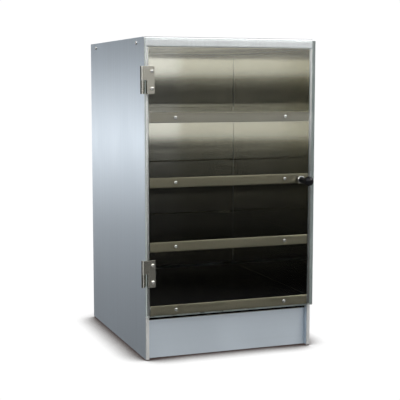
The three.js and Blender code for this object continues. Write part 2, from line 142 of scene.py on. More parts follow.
def pick(obj: bpy.types.Object, kind: str, test: Callable[[Vector, Vector], bool]) -> None:
    """Go to edit mode and select the faces or edges that pass a test.

    Args:
        obj: The object to edit.
        kind: "FACE" or "EDGE".
        test: Takes a face's centre and normal, or an edge's two ends.
    """
    if obj.mode != "EDIT":
        take(obj)
        bpy.ops.object.mode_set(mode="EDIT")
    bpy.ops.mesh.select_mode(type=kind)
    bpy.ops.mesh.select_all(action="DESELECT")
    mesh = bmesh.from_edit_mesh(obj.data)
    if kind == "FACE":
        parts = [(face, face.calc_center_median(), face.normal) for face in mesh.faces]
    else:
        parts = [(edge, edge.verts[0].co, edge.verts[1].co) for edge in mesh.edges]
    for part, one, two in parts:
        part.select_set(test(one, two))
    bmesh.update_edit_mesh(obj.data)


def finish_with(obj: bpy.types.Object, kind: str, **settings: object) -> bpy.types.Object:
    """Add one modifier and apply it.

    Args:
        obj: The object to work on.
        kind: The modifier's type.
        **settings: The modifier's properties.

    Returns:
        The same object.
    """
    take(obj)
    modifier = obj.modifiers.new(kind.lower(), kind)
    for key, value in settings.items():
        setattr(modifier, key, value)
    bpy.ops.object.modifier_apply(modifier=modifier.name)
    return obj


def soften(obj: bpy.types.Object, width: float, angle: float = 40, segments: int = 2) -> bpy.types.Object:
    """Round the edges that are sharper than an angle.

    Args:
        obj: The object to work on.
        width: Width of the rounding.
        angle: The least angle, in degrees, of an edge that is rounded.
        segments: Faces across the rounding.

    Returns:
        The same object.
    """
    return finish_with(
        obj, "BEVEL", width=width, segments=segments, limit_method="ANGLE",
        angle_limit=math.radians(angle), harden_normals=False,
    )


def smooth(obj: bpy.types.Object, angle: float = 32) -> bpy.types.Object:
    """Shade a piece smooth where its faces meet at less than an angle in degrees, and keep its flats flat."""
    take(obj)
    bpy.ops.object.shade_smooth_by_angle(angle=math.radians(angle))
    return finish_with(obj, "WEIGHTED_NORMAL", mode="FACE_AREA", weight=100, keep_sharp=True)


def cut(obj: bpy.types.Object, cutters: Iterable[bpy.types.Object]) -> bpy.types.Object:
    """Cut other objects out of one and throw them away.

    Args:
        obj: The object to cut.
        cutters: The closed objects to cut with.

    Returns:
        The cut object.
    """
    for cutter in cutters:
        finish_with(obj, "BOOLEAN", operation="DIFFERENCE", object=cutter, solver="EXACT")
        bpy.data.objects.remove(cutter)
    return obj


def join(pieces: Sequence[bpy.types.Object], name: str) -> bpy.types.Object:
    """Join finished meshes into the first of them and rename it."""
    take(pieces[0])
    for piece in pieces:
        piece.select_set(True)
    bpy.ops.object.join()
    return settle(bpy.context.object, name)


def brick(name: str, low: Sequence[float], high: Sequence[float]) -> bpy.types.Object:
    """Add a block by its lowest and highest corners.

    Args:
        name: The block's name.
        low: Its lowest corner.
        high: Its highest corner.

    Returns:
        The block, ready to be shaped.
    """
    clear_selection()
    low, high = Vector(low), Vector(high)
    bpy.ops.mesh.primitive_cube_add(size=1, location=(low + high) / 2, scale=high - low)
    return settle(bpy.context.object, name)


def bar(
    name: str, axis: Axis, radius: float, length: float, centre: Sequence[float], sides: int = 32,
) -> bpy.types.Object:
    """Add a round bar.

    Args:
        name: The bar's name.
        axis: The way that it points.
        radius: Its radius.
        length: Its length.
        centre: Its middle.
        sides: Faces round it.

    Returns:
        The bar, ready to cut with.
    """
    clear_selection()
    turn = Axis.Z.value.rotation_difference(axis.value).to_euler()
    bpy.ops.mesh.primitive_cylinder_add(
        vertices=sides, radius=radius, depth=length, location=centre, rotation=turn,
    )
    return settle(bpy.context.object, name)


def strip(name: str, corners: Sequence[Vector], across: Vector) -> bpy.types.Object:
    """Model a bent strip: a plane for its first leg, then one extrusion for each further leg.

    Args:
        name: The strip's name.
        corners: Points along one side of the strip.
        across: The way and distance from that side to the other.

    Returns:
        The strip, as an open surface.
    """
    clear_selection()
    first = corners[1] - corners[0]
    frame = Matrix((first.normalized(), across.normalized(), first.cross(across).normalized())).transposed()
    bpy.ops.mesh.primitive_plane_add(
        size=1, location=(corners[0] + corners[1] + across) / 2, rotation=frame.to_euler(),
    )
    plane = bpy.context.object
    plane.scale = (first.length, across.length, 1)
    settle(plane, name)
    end = corners[1]
    pick(plane, "EDGE", lambda a, b: all(
        (p - end).cross(across).length < 1e-7 * across.length + 1e-9 for p in (a, b)))
    for before, after in zip(corners[1:], corners[2:]):
        bpy.ops.mesh.extrude_region_move(TRANSFORM_OT_translate={"value": after - before})
    bpy.ops.object.mode_set(mode="OBJECT")
    return plane


def fold(sheet: bpy.types.Object, thickness: float, bend: float) -> bpy.types.Object:
    """Round a sheet's fold lines, give it its thickness and ease its cut edges.

    Args:
        sheet: An open surface that runs along the middle of the sheet.
        thickness: The sheet's thickness.
        bend: Radius of its bends, along the middle.

    Returns:
        The finished sheet.
    """
    take(sheet)
    bpy.ops.object.mode_set(mode="EDIT")
    bpy.ops.mesh.select_all(action="SELECT")
    bpy.ops.mesh.remove_doubles(threshold=WELD)
    bpy.ops.mesh.normals_make_consistent(inside=False)
    bpy.ops.object.mode_set(mode="OBJECT")
    soften(sheet, bend, segments=6)
    finish_with(sheet, "SOLIDIFY", thickness=thickness, offset=0, use_even_offset=True)
    soften(sheet, thickness * EDGE_EASE, angle=60)
    return smooth(sheet, 40)


def formed(name: str, path: Sequence[Pair], ends: Pair, thickness: float, bend: float) -> bpy.types.Object:
    """Fold a sheet that has one profile all along X.

    Args:
        name: The sheet's name.
        path: Y and Z of the profile's corners, along the middle of the sheet.
        ends: X of the sheet's two ends.
        thickness: The sheet's thickness.
        bend: Radius of its bends, along the middle.

    Returns:
        The finished sheet.
    """
    corners = [Vector((ends[0], y, z)) for y, z in path]
    return fold(strip(name, corners, Vector((ends[1] - ends[0], 0, 0))), thickness, bend)


def turned(
    name: str, profile: Sequence[Pair], centre: Sequence[float], facing: Matrix, sides: int = 48,
) -> bpy.types.Object:
    """Turn a piece on a lathe: a ring, then one extrusion and scaling for each further step of its profile.

    Args:
        name: The piece's name.
        profile: Radius and height of each step; the first and the last are closed flat or to a point.
        centre: Where height 0 of the axis lies.
        facing: Turns the piece's +Y to the way that it points.
        sides: Faces round the piece.

    Returns:
        The turned piece.
    """
    clear_selection()
    steps = [(max(radius, TOUCH), height) for radius, height in profile]
    radius, height = steps[0]
    upright = (math.pi / 2, 0, 0)
    bpy.ops.mesh.primitive_circle_add(
        vertices=sides, radius=radius, fill_type="NGON", location=(0, height, 0), rotation=upright,
    )
    ring = settle(bpy.context.object, name)
    pick(ring, "FACE", lambda middle, normal: True)
    for radius_to, height_to in steps[1:]:
        bpy.ops.mesh.extrude_region_move(TRANSFORM_OT_translate={"value": (0, height_to - height, 0)})
        scale = radius_to / radius
        bpy.ops.transform.resize(value=(scale, scale, scale), center_override=(0, height_to, 0))
        radius, height = radius_to, height_to
    bpy.ops.mesh.select_all(action="SELECT")
    bpy.ops.mesh.remove_doubles(threshold=TOUCH)
    bpy.ops.mesh.normals_make_consistent(inside=False)
    bpy.ops.object.mode_set(mode="OBJECT")
    ring.data.transform(Matrix.Translation(centre) @ facing)
    return smooth(ring, 35)


def copy_of(piece: bpy.types.Object, name: str, place: Matrix) -> bpy.types.Object:
    """Copy a piece with a mesh of its own and put the copy's place into that mesh.

    Args:
        piece: The piece to copy.
        name: The copy's name.
        place: Moves the piece's points to the copy's.

    Returns:
        The copy.
    """
    twin = piece.copy()
    twin.data = piece.data.copy()
    twin.name = name
    twin.data.name = name
    twin.data.transform(place)
    bpy.context.scene.collection.objects.link(twin)
    return twin


def plate(name: str, low: Sequence[float], high: Sequence[float], ease: float) -> bpy.types.Object:
    """Make a flat plate or block and round its edges.

    Args:
        name: The plate's name.
        low: Its lowest corner.
        high: Its highest corner.
        ease: Width of the rounding.

    Returns:
        The finished plate.
    """
    return smooth(soften(brick(name, low, high), ease), 40)


def eased_copy(node: bpy.types.Object, name: str, ease: float = 0, angle: float = 40) -> bpy.types.Object:
    """Copy a CAD node's shape, merge its loose triangles and round its edges.

    Args:
        node: The CAD node's object.
        name: The copy's name.
        ease: Width of the rounding, or 0 for none.
        angle: Faces that meet at less than this angle in degrees are shaded as one surface.

    Returns:
        The copy, free of the node's body.
    """
    piece = copy_of(node, name, Matrix.Identity(4))
    piece.parent = None
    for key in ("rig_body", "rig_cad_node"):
        del piece[key]
    take(piece)
    bpy.ops.mesh.customdata_custom_splitnormals_clear()
    bpy.ops.object.mode_set(mode="EDIT")
    bpy.ops.mesh.select_all(action="SELECT")
    bpy.ops.mesh.remove_doubles(threshold=WELD)
    bpy.ops.mesh.dissolve_limited(angle_limit=math.radians(1))
    bpy.ops.object.mode_set(mode="OBJECT")
    if ease:
        soften(piece, ease, angle=50, segments=3)
    return smooth(piece, angle)


def flanged(
    sheet: bpy.types.Object, name: str, low: Sequence[float], high: Sequence[float], thickness: float,
) -> bpy.types.Object:
    """Join a flat flange to each end of a folded sheet.

    Args:
        sheet: The folded sheet.
        name: The joined piece's name.
        low: Lowest corner of the box that both flanges fill the ends of.
        high: That box's highest corner.
        thickness: The sheet's thickness.

    Returns:
        The joined piece.
    """
    pieces = [sheet]
    for near in (low[0], high[0] - thickness):
        flange = brick("side_flange", (near, *low[1:]), (near + thickness, *high[1:]))
        pieces.append(smooth(soften(flange, thickness * EDGE_EASE)))
    return join(pieces, name)


def middle_of(node: str) -> Vector:
    """The middle of a CAD node's box."""
    low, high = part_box(node)
    return (low + high) / 2


class Body(Enum):
    """The cabinet's bodies that pieces ride on."""

    CABINET = "cabinet"
    DOOR = "door"
    IMPELLER = "impeller"
    ROCKER = "rocker"
    DIAL = "dial"


def fit(piece: bpy.types.Object, finish: "Finish", body: Body, slot: str, *nodes: str) -> None:
    """Dress a finished piece and put it on the cabinet.

    Args:
        piece: The piece.
        finish: Its finish.
        body: The body that it rides on.
        slot: The record's material slot that its finish belongs to; not used.
        *nodes: The CAD nodes that it stands for.
    """
    piece.data.materials.clear()
    piece.data.materials.append(finish.material())
    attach(piece, body.value)
    if nodes:
        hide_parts(*nodes)
    LOG.info("%s rides on %s, %d faces", piece.name, body.value, len(piece.data.polygons))


def refinish(piece: bpy.types.Object, finish: "Finish", test: Callable[[Vector, Vector], bool]) -> None:
    """Give some faces of a fitted piece a second finish.

    Args:
        piece: The piece.
        finish: The finish of the chosen faces.
        test: Takes a face's middle and normal and says whether it is chosen.
    """
    piece.data.materials.append(finish.material())
    pick(piece, "FACE", test)
    piece.active_material_index = len(piece.data.materials) - 1
    bpy.ops.object.material_slot_assign()
    bpy.ops.object.mode_set(mode="OBJECT")


def stack(
    first: bpy.types.Object, name: str, node: str, finish: "Finish", slot: str,
) -> list[bpy.types.Object]:
    """Copy the topmost of four alike pieces down to the others' places and fit all four.

    Args:
        first: The topmost piece.
        name: The pieces' name, before their number.
        node: The name of the CAD nodes that they stand for, before its number.
        finish: Their finish.
        slot: The record's material slot that the finish belongs to.

    Returns:
        The four pieces.
    """
    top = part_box(f"{node}_1")[0].z
    pieces = []
    for number in ROWS:
        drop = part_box(f"{node}_{number}")[0].z - top
        piece = copy_of(first, f"{name}_{number}", Matrix.Translation((0, 0, drop))) if drop else first
        fit(piece, finish, Body.CABINET, slot, f"{node}_{number}")
        pieces.append(piece)
    return pieces


# ---------------------------------------------------------------------------------------------------------
# Finishes
# ---------------------------------------------------------------------------------------------------------


class Wiring:
    """A node tree, with short calls that add a node and wire it."""

    def __init__(self, owner: bpy.types.Material | bpy.types.World) -> None:
        """Take up the node tree of a material or a world."""
        owner.use_nodes = True
        self.tree = owner.node_tree

    def feed(self, socket: bpy.types.NodeSocket, value: object) -> None:
        """Wire another node's output to a socket, or set the socket's own value."""
        if isinstance(value, bpy.types.NodeSocket):
            self.tree.links.new(value, socket)
        else:
            socket.default_value = value

    def add(self, kind: str, inputs: dict[str | int, object], **settings: object) -> bpy.types.Node:
        """Add a node.

        Args:
            kind: The node's type.
            inputs: Values or outputs for its sockets, by name or number.
            **settings: The node's own properties.

        Returns:
            The new node.
        """
        node = self.tree.nodes.new(kind)
        for key, value in settings.items():
            setattr(node, key, value)
        for key, value in inputs.items():
            self.feed(node.inputs[key], value)
        return node

    def span(
        self, value: bpy.types.NodeSocket, low: float, high: float, start: float = 0.0, end: float = 1.0,
        **settings: object,
    ) -> bpy.types.NodeSocket:
        """Spread one stretch of a value over another and hold it at the ends.

        Args:
            value: The value.
            low: Where its stretch begins.
            high: Where its stretch ends.
            start: What it becomes at low.
            end: What it becomes at high.
            **settings: The node's own properties.

        Returns:
            The new value.
        """
        inputs = {"Value": value, "From Min": low, "From Max": high, "To Min": start, "To Max": end}
        return self.add("ShaderNodeMapRange", inputs, **settings).outputs["Result"]

    def sum(self, one: object, two: object, **settings: object) -> bpy.types.NodeSocket:
        """Add two values."""
        return self.add("ShaderNodeMath", {0: one, 1: two}, operation="ADD", **settings).outputs[0]

    def blend(self, share: object, one: object, two: object) -> bpy.types.NodeSocket:
        """Mix two colours.

        Args:
            share: The second colour's share.
            one: The first colour, or a node's output.
            two: The second colour, or a node's output.

        Returns:
            The mixed colour.
        """
        full = [(*c, 1.0) if isinstance(c, tuple) else c for c in (one, two)]
        inputs = {0: share, 6: full[0], 7: full[1]}
        return self.add("ShaderNodeMix", inputs, data_type="RGBA").outputs[2]


class Nodes(Wiring):
    """A material's nodes: its shader, and the patterns that its finish is made of."""

    def __init__(self, name: str) -> None:
        """Start a material that holds one Principled shader."""
        self.material = bpy.data.materials.new(name)
        super().__init__(self.material)
        self.shader = self.tree.nodes["Principled BSDF"]

    def shade(self, **values: object) -> None:
        """Set the shader's sockets; an underscore in a name stands for a space."""
        for key, value in values.items():
            self.feed(self.shader.inputs[key.replace("_", " ")], value)

    def noise(self, scale: Sequence[float], detail: float = 3, warp: float = 0) -> bpy.types.NodeSocket:
        """Add a noise on the object's own coordinates.

        Args:
            scale: Waves per metre along X, Y and Z.
            detail: How many finer layers it has.
            warp: How much it is twisted.

        Returns:
            The noise's value, from 0 to 1.
        """
        place = self.add("ShaderNodeTexCoord", {}).outputs["Object"]
        stretched = self.add("ShaderNodeMapping", {"Vector": place, "Scale": scale}).outputs["Vector"]
        inputs = {"Vector": stretched, "Scale": 1.0, "Detail": detail, "Distortion": warp}
        return self.add("ShaderNodeTexNoise", inputs).outputs[0]

    def bump(self, height: bpy.types.NodeSocket, depth: float) -> bpy.types.NodeSocket:
        """Turn a height from 0 to 1 into a bumped normal, depth metres deep."""
        inputs = {"Height": height, "Distance": depth, "Strength": 1.0}
        return self.add("ShaderNodeBump", inputs).outputs["Normal"]


@dataclass(frozen=True)
class Finish:
    """What every finish has: a name and one material made on first use."""

    name: str

    def material(self) -> bpy.types.Material:
        """The finish's material, made the first time that it is asked for."""
        return bpy.data.materials.get(self.name) or self.make(Nodes(self.name))

    def make(self, nodes: Nodes) -> bpy.types.Material:
        """Wire the finish's nodes and return their material."""
        raise NotImplementedError


@dataclass(frozen=True)
class BrushedSteel(Finish):
    """Stainless sheet with a fine one-way grain, faint rolling streaks and a haze from wiping.

    It can carry painted shade low down: darkened by a share below one height, easing off up to a higher one,
    and lifted back again below a lower one. A glance under 1 keeps it dark when it is seen edge-on.
    """

    colour: Colour = (0.78, 0.80, 0.82)
    grain: Axis = Axis.Z
    roughness: float = 0.28
    anisotropy: float = 0.7
    streak: float = 0.05
    shade_full_below: float = 0.0
    shade_none_above: float = 0.0
    shade_depth: float = 0.0
    shade_lifted_below: float = 0.0
    shade_lifted_edge: float = 3 * MM
    glance: float = 1.0

    def along(self, across: float, along: float) -> Point:
        """Waves per metre that are long along the grain and short across it."""
        return tuple(along if part else across for part in self.grain.value)

    def make(self, nodes: Nodes) -> bpy.types.Material:
        """Grain in the bump and the roughness, streaks in the colour, and a tangent across the grain."""
        hairline = nodes.noise(self.along(1400, 9), detail=2)
        streaks = nodes.noise(self.along(330, 1.5), detail=6)
        haze = nodes.noise((11, 11, 7), detail=4, warp=0.6)
        shadow = tuple(part * (1 - self.streak) for part in self.colour)
        tone = nodes.span(streaks, 0.35, 0.65)
        brushed = nodes.span(streaks, 0.3, 0.7, self.roughness * 0.97, self.roughness * 1.03)
        wiped = nodes.span(haze, 0.4, 0.75, 0.0, self.roughness * 0.1)
        normal = nodes.add("ShaderNodeNewGeometry", {}).outputs["Normal"]
        inputs = {0: normal, 1: tuple(self.grain.value)}
        tangent = nodes.add("ShaderNodeVectorMath", inputs, operation="CROSS_PRODUCT").outputs[0]
        colour = nodes.blend(tone, shadow, self.colour)
        # Painted shade: the colour is darkened towards the bottom and lifted back again at the very bottom.
        if self.shade_depth:
            place = nodes.add("ShaderNodeTexCoord", {}).outputs["Object"]
            height = nodes.add("ShaderNodeSeparateXYZ", {0: place}).outputs["Z"]
            shade_share = nodes.span(height, self.shade_full_below, self.shade_none_above, self.shade_depth, 0.0)
            lifted_share = nodes.span(height, self.shade_lifted_below, self.shade_lifted_below + self.shade_lifted_edge, 0.75, 0.0)
            colour = nodes.blend(lifted_share, nodes.blend(shade_share, colour, (0.0, 0.0, 0.0)), colour)
        nodes.shade(
            Base_Color=colour, Metallic=1.0,
            Roughness=nodes.sum(brushed, wiped), Anisotropic=self.anisotropy,
            Normal=nodes.bump(hairline, 0.000012), Tangent=tangent,
            Specular_Tint=(self.glance, self.glance, self.glance, 1.0),
        )
        return nodes.material


@dataclass(frozen=True)
class PolishedMetal(Finish):
    """Bright plated metal with hairline scratches and a few dulled patches."""

    colour: Colour = (0.86, 0.86, 0.85)
    roughness: float = 0.12

    def make(self, nodes: Nodes) -> bpy.types.Material:
        """Scratches in the bump and patches in the colour and the roughness."""
        scratches = nodes.noise((900, 260, 900), detail=6, warp=1.5)
        patches = nodes.noise((240, 240, 240), detail=3)
        dull = tuple(part * 0.8 for part in self.colour)
        nodes.shade(
            Base_Color=nodes.blend(nodes.span(patches, 0.35, 0.6), dull, self.colour), Metallic=1.0,
            Roughness=nodes.span(patches, 0.3, 0.7, self.roughness, self.roughness * 1.9),
            Normal=nodes.bump(scratches, 0.000015),
        )
        return nodes.material


@dataclass(frozen=True)
class SpangledZinc(Finish):
    """Hot-dipped sheet: grey crystals a few millimetres wide, each with a tone and a gloss of its own."""

    colour: Colour = (0.60, 0.62, 0.63)
    crystal: float = 0.006

    def make(self, nodes: Nodes) -> bpy.types.Material:
        """One flat tone and roughness for each crystal, and a grainy bump."""
        place = nodes.add("ShaderNodeTexCoord", {}).outputs["Object"]
        inputs = {"Vector": place, "Scale": 1 / self.crystal}
        cells = nodes.add("ShaderNodeTexVoronoi", inputs).outputs["Color"]
        tone = nodes.add("ShaderNodeSeparateColor", {0: cells}).outputs[0]
        dark = tuple(part * 0.72 for part in self.colour)
        nodes.shade(
            Base_Color=nodes.blend(tone, dark, self.colour), Metallic=1.0,
            Roughness=nodes.span(tone, 0.0, 1.0, 0.38, 0.56),
            Normal=nodes.bump(nodes.noise((700, 700, 700)), 0.00003),
        )
        return nodes.material


@dataclass(frozen=True)
class ClearSheet(Finish):
    """Clear door sheet with a faint green body, wiped smears and hairline marks."""

    colour: Colour = (0.97, 0.98, 0.975)
    refraction: float = 1.49

    def make(self, nodes: Nodes) -> bpy.types.Material:
        """Clear shader whose roughness rises a little in the smears."""
        smears = nodes.noise((9, 9, 22), detail=5, warp=2)
        scuffs = nodes.noise((700, 700, 180), detail=2, warp=1)
        nodes.shade(
            Base_Color=nodes.blend(nodes.span(smears, 0.45, 0.8), self.colour, (0.95, 0.96, 0.955)),
            Roughness=nodes.sum(
                nodes.span(smears, 0.5, 0.9, 0.0, 0.03), nodes.span(scuffs, 0.66, 0.8, 0.0, 0.05),
            ),
            Transmission_Weight=1.0, IOR=self.refraction,
        )
        return nodes.material


# This finish also carries painted reflection and painted shade where it is laid on the door sheet's faces.
@dataclass(frozen=True)
class GroundEdge(Finish):
    """Sawn and ground edge of the clear sheet: grey-green, frosted, with saw lines along it."""

    colour: Colour = (0.27, 0.31, 0.30)

    def make(self, nodes: Nodes) -> bpy.types.Material:
        """Frosted shader that lets little through, with fine lines along the edge."""
        lines = nodes.noise((900, 1800, 25), detail=3)
        worn = tuple(part * 1.15 for part in self.colour)
        nodes.shade(
            Base_Color=nodes.blend(nodes.span(lines, 0.35, 0.7), self.colour, worn),
            Roughness=nodes.span(lines, 0.3, 0.7, 0.30, 0.5), Transmission_Weight=0.1, IOR=1.49,
            Normal=nodes.bump(lines, 0.00004),
        )
        return nodes.material


@dataclass(frozen=True)
class MouldedPlastic(Finish):
    """Moulded plastic with a fine flow texture."""

    colour: Colour = (0.012, 0.012, 0.013)
    roughness: float = 0.5
    shine: float = 0.5
    texture: float = 0.00004

    def make(self, nodes: Nodes) -> bpy.types.Material:
        """Speckled tone, uneven roughness and a pebbled bump."""
        speckle = nodes.noise((420, 420, 420), detail=5)
        worn = nodes.noise((60, 60, 60), detail=4)
        light = tuple(part * 1.9 + 0.001 for part in self.colour)
        nodes.shade(
            Base_Color=nodes.blend(nodes.span(speckle, 0.35, 0.75), self.colour, light),
            Roughness=nodes.span(worn, 0.3, 0.7, self.roughness * 0.85, self.roughness * 1.25),
            Specular_IOR_Level=self.shine, Normal=nodes.bump(speckle, self.texture),
        )
        return nodes.material


@dataclass(frozen=True)
class MineralWool(Finish):
    """Pressed yellow mineral wool: matted fibres with darker binder spots."""

    colour: Colour = (0.62, 0.52, 0.26)

    def make(self, nodes: Nodes) -> bpy.types.Material:
        """Fibres across the pad in the colour and a deep, rough bump."""
        fibres = nodes.noise((900, 160, 220), detail=8, warp=3)
        clumps = nodes.noise((60, 60, 60), detail=4)
        light = nodes.blend(nodes.span(fibres, 0.35, 0.7), self.colour, (0.80, 0.72, 0.45))
        nodes.shade(
            Base_Color=nodes.blend(nodes.span(clumps, 0.55, 0.7, 0.0, 0.6), light, (0.36, 0.25, 0.10)),
            Roughness=0.95, Sheen_Weight=0.3, Normal=nodes.bump(fibres, 0.0008),
        )
        return nodes.material


@dataclass(frozen=True)
class OxidisedSheath(Finish):
    """Heating element's sheath: drawn steel, browned by heat in bands."""

    colour: Colour = (0.22, 0.20, 0.18)

    def make(self, nodes: Nodes) -> bpy.types.Material:
        """Heat bands and scale in the colour, a dry scale in the roughness."""
        bands = nodes.noise((8, 26, 8), detail=3)
        scale = nodes.noise((500, 500, 500), detail=5)
        heated = nodes.blend(nodes.span(bands, 0.4, 0.65), self.colour, (0.30, 0.19, 0.10))
        nodes.shade(
            Base_Color=nodes.blend(nodes.span(scale, 0.55, 0.7, 0.0, 0.7), heated, (0.07, 0.06, 0.06)),
            Metallic=0.8, Roughness=nodes.span(scale, 0.3, 0.7, 0.35, 0.62),
            Normal=nodes.bump(scale, 0.00003),
        )
        return nodes.material


@dataclass(frozen=True)
class LampLens(Finish):
    """Red moulded lens with a ribbed inside that catches light."""

    colour: Colour = (0.60, 0.02, 0.01)

    def make(self, nodes: Nodes) -> bpy.types.Material:
        """Half-clear red with a cloudy core."""
        cloud = nodes.noise((500, 500, 500), detail=3)
        nodes.shade(
            Base_Color=nodes.blend(nodes.span(cloud, 0.3, 0.7), self.colour, (0.75, 0.06, 0.03)),
            Roughness=nodes.span(cloud, 0.3, 0.7, 0.08, 0.2), Transmission_Weight=0.5, IOR=1.5,
            Normal=nodes.bump(cloud, 0.00003),
        )
        return nodes.material


SKIN = BrushedSteel("brushed_casing", (0.70, 0.79, 0.88), Axis.Z, roughness=0.30, anisotropy=0.75)
# Painted shade: the front returns are darkened towards the bottom, each side from its own height, and lifted
# back at the very bottom.
RETURNS = {
    "left": BrushedSteel(
        "brushed_return_left", (0.95, 0.95, 0.93), Axis.Z, roughness=0.50, anisotropy=0.1,
        shade_full_below=0.17, shade_none_above=0.40, shade_depth=0.70, shade_lifted_below=0.085,
    ),
    "right": BrushedSteel(
        "brushed_return_right", (0.95, 0.95, 0.94), Axis.Z, roughness=0.50, anisotropy=0.1,
        shade_full_below=0.32, shade_none_above=0.50, shade_depth=0.72, shade_lifted_below=0.085,
    ),
}
TOP_SKIN = BrushedSteel("brushed_top", (0.93, 0.95, 0.96), Axis.Z, roughness=0.46, anisotropy=0.3)
# Painted shade: the top face is a much darker copy of the top skin's steel.
PAINTED_TOP_SHADE = BrushedSteel("brushed_top_painted_shade", (0.24, 0.247, 0.255), Axis.X, roughness=0.42, anisotropy=0.4, glance=0.35)
KICK = BrushedSteel("brushed_kick", (0.56, 0.62, 0.675), Axis.X, roughness=0.42, anisotropy=0.5, streak=0.02)
LINER = BrushedSteel("brushed_liner", (0.74, 0.72, 0.62), Axis.Z, roughness=0.09, anisotropy=0.9)
# Painted shade: the shelves are the same steel coloured far darker than the outer sheets, and their decks
# darker still.
SHELF_PAINTED_SHADE = BrushedSteel("brushed_shelf", (0.20, 0.184, 0.130), Axis.X, roughness=0.38, anisotropy=0.75)
DECK_PAINTED_SHADE = BrushedSteel("brushed_deck_painted_shade", (0.13, 0.122, 0.098), Axis.X, roughness=0.12, anisotropy=0.5, glance=0.30)
HINGE = BrushedSteel("satin_hinge", (0.70, 0.68, 0.59), Axis.Z, roughness=0.20, anisotropy=0.3)
# Painted shade: a near-black copy of the steel for the kick's top ledge in the gap under the lowest shelf,
# and a painted dark reflection on the hinge knuckles' left side.
PAINTED_SHADE_STEEL = BrushedSteel("painted_shade_steel", (0.12, 0.115, 0.10), Axis.Z, roughness=0.32, anisotropy=0.2, glance=0.1)
# Painted highlight: a near-white copy of the steel for a bright line down the hinge knuckles.
PAINTED_HIGHLIGHT = BrushedSteel("painted_highlight_knuckle", (0.96, 0.95, 0.88), Axis.Z, roughness=0.42, anisotropy=0.2)
SCREW = PolishedMetal("bright_screw", (0.56, 0.55, 0.52))
CHROME = PolishedMetal("chrome_ring", (0.90, 0.91, 0.92), roughness=0.05)
ZINC = SpangledZinc("zinc_sheet")
PANE = ClearSheet("clear_sheet")
# The edge's dark grey-green tone is partly its own frosted finish and partly painted reflection; it also
# covers a band of painted reflection on the rear face.
PANE_EDGE_AND_REFLECTION = GroundEdge("ground_edge_and_reflection")
# Painted shade: the sheet's bottom edge is coloured near black for the shadowed gap under the lowest shelf.
PANE_FOOT_PAINTED_SHADE = GroundEdge("ground_foot_painted_shade", (0.03, 0.034, 0.033))
GLOSS_BLACK = MouldedPlastic(
    "gloss_black", (0.003, 0.003, 0.0035), roughness=0.14, shine=0.12, texture=0.000003,
)
# Painted shade: the screws' cross recesses are coloured near black for the shade inside them.
RECESS_PAINTED_SHADE = MouldedPlastic("screw_recess", (0.010, 0.010, 0.010), roughness=0.6, shine=0.2)
SATIN_BLACK = MouldedPlastic("satin_black", (0.016, 0.016, 0.018), roughness=0.48)
RUBBER = MouldedPlastic("soft_rubber", (0.020, 0.019, 0.018), roughness=0.85, texture=0.0001)
WOOL = MineralWool("pressed_wool")
SHEATH = OxidisedSheath("heated_sheath")
LAMP = LampLens("red_lens")


# ---------------------------------------------------------------------------------------------------------
# Sub-assemblies
# ---------------------------------------------------------------------------------------------------------


@dataclass
class Casing:
    """Outer planes of the cabinet, which every sub-assembly measures from."""

    sheet: float = 1 * MM
    bend: float = 1.5 * MM
    gap: float = 0.3 * MM
    flange: float = 7.5 * MM
    flange_lip: float = 10.5 * MM
    rear_flange: float = 8 * MM
    top_flange: float = 18 * MM
    left: float = field(init=False)
    right: float = field(init=False)
    front: float = field(init=False)
    back: float = field(init=False)
    top: float = field(init=False)
    skin_bottom: float = field(init=False)

    def __post_init__(self) -> None:
        """Read the outer planes from the side panels' boxes."""
        low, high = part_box("left_side_panel")
        self.left, self.front, self.skin_bottom = low
        self.back, self.top = high.y, high.z
        self.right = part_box("right_side_panel")[1].x

    @property
    def middle(self) -> float:
        """Half the sheet's thickness."""
        return self.sheet / 2

    @property
    def inner(self) -> Pair:
        """Left and right ends of the sheets that sit inside the side panels."""
        return self.left + self.sheet + self.gap, self.right - self.sheet - self.gap


@dataclass
class SidePanels:
    """Folded side skins with a front flange and its lip; their two screws each near the top edge are seated
    with the other fasteners.
    """

    casing: Casing
    overrun: float = 5 * MM

    def folded(self, name: str, outer: float, way: int) -> bpy.types.Object:
        """Fold one side skin.

        Args:
            name: The piece's name.
            outer: X of its outer face.
            way: 1 where the cabinet lies towards +X of it, or -1.

        Returns:
            The skin, notched where the top panel's flanges pass.
        """
        c = self.casing
        face = outer + way * c.middle
        edge = outer + way * (c.flange - c.middle)
        path = [
            (outer + way * c.rear_flange, c.back - c.middle), (face, c.back - c.middle),
            (face, c.front + c.middle), (edge, c.front + c.middle), (edge, c.front + c.flange_lip),
        ]
        corners = [Vector((x, y, c.skin_bottom)) for x, y in path]
        skin = fold(strip(name, corners, Vector((0, 0, c.top - c.skin_bottom))), c.sheet, c.bend)
        near = outer + way * (c.sheet + c.gap / 2)
        far = outer + way * (c.flange + 2 * self.overrun)
        notch = brick(
            "notch", (min(near, far), c.front - self.overrun, c.top - c.top_flange - c.gap),
            (max(near, far), c.back + self.overrun, c.top + self.overrun),
        )
        return smooth(cut(skin, [notch]), 40)

    def build(self) -> None:
        """Make and fit both skins."""
        c = self.casing
        for side, outer, way in (("left", c.left, 1), ("right", c.right, -1)):
            skin = self.folded(f"{side}_side_skin", outer, way)
            fit(skin, SKIN, Body.CABINET, "skin_steel", f"{side}_side_panel")
            refinish(
                skin, RETURNS[side], lambda middle, normal: normal.y < -0.5 and middle.y < c.front + c.sheet,
            )


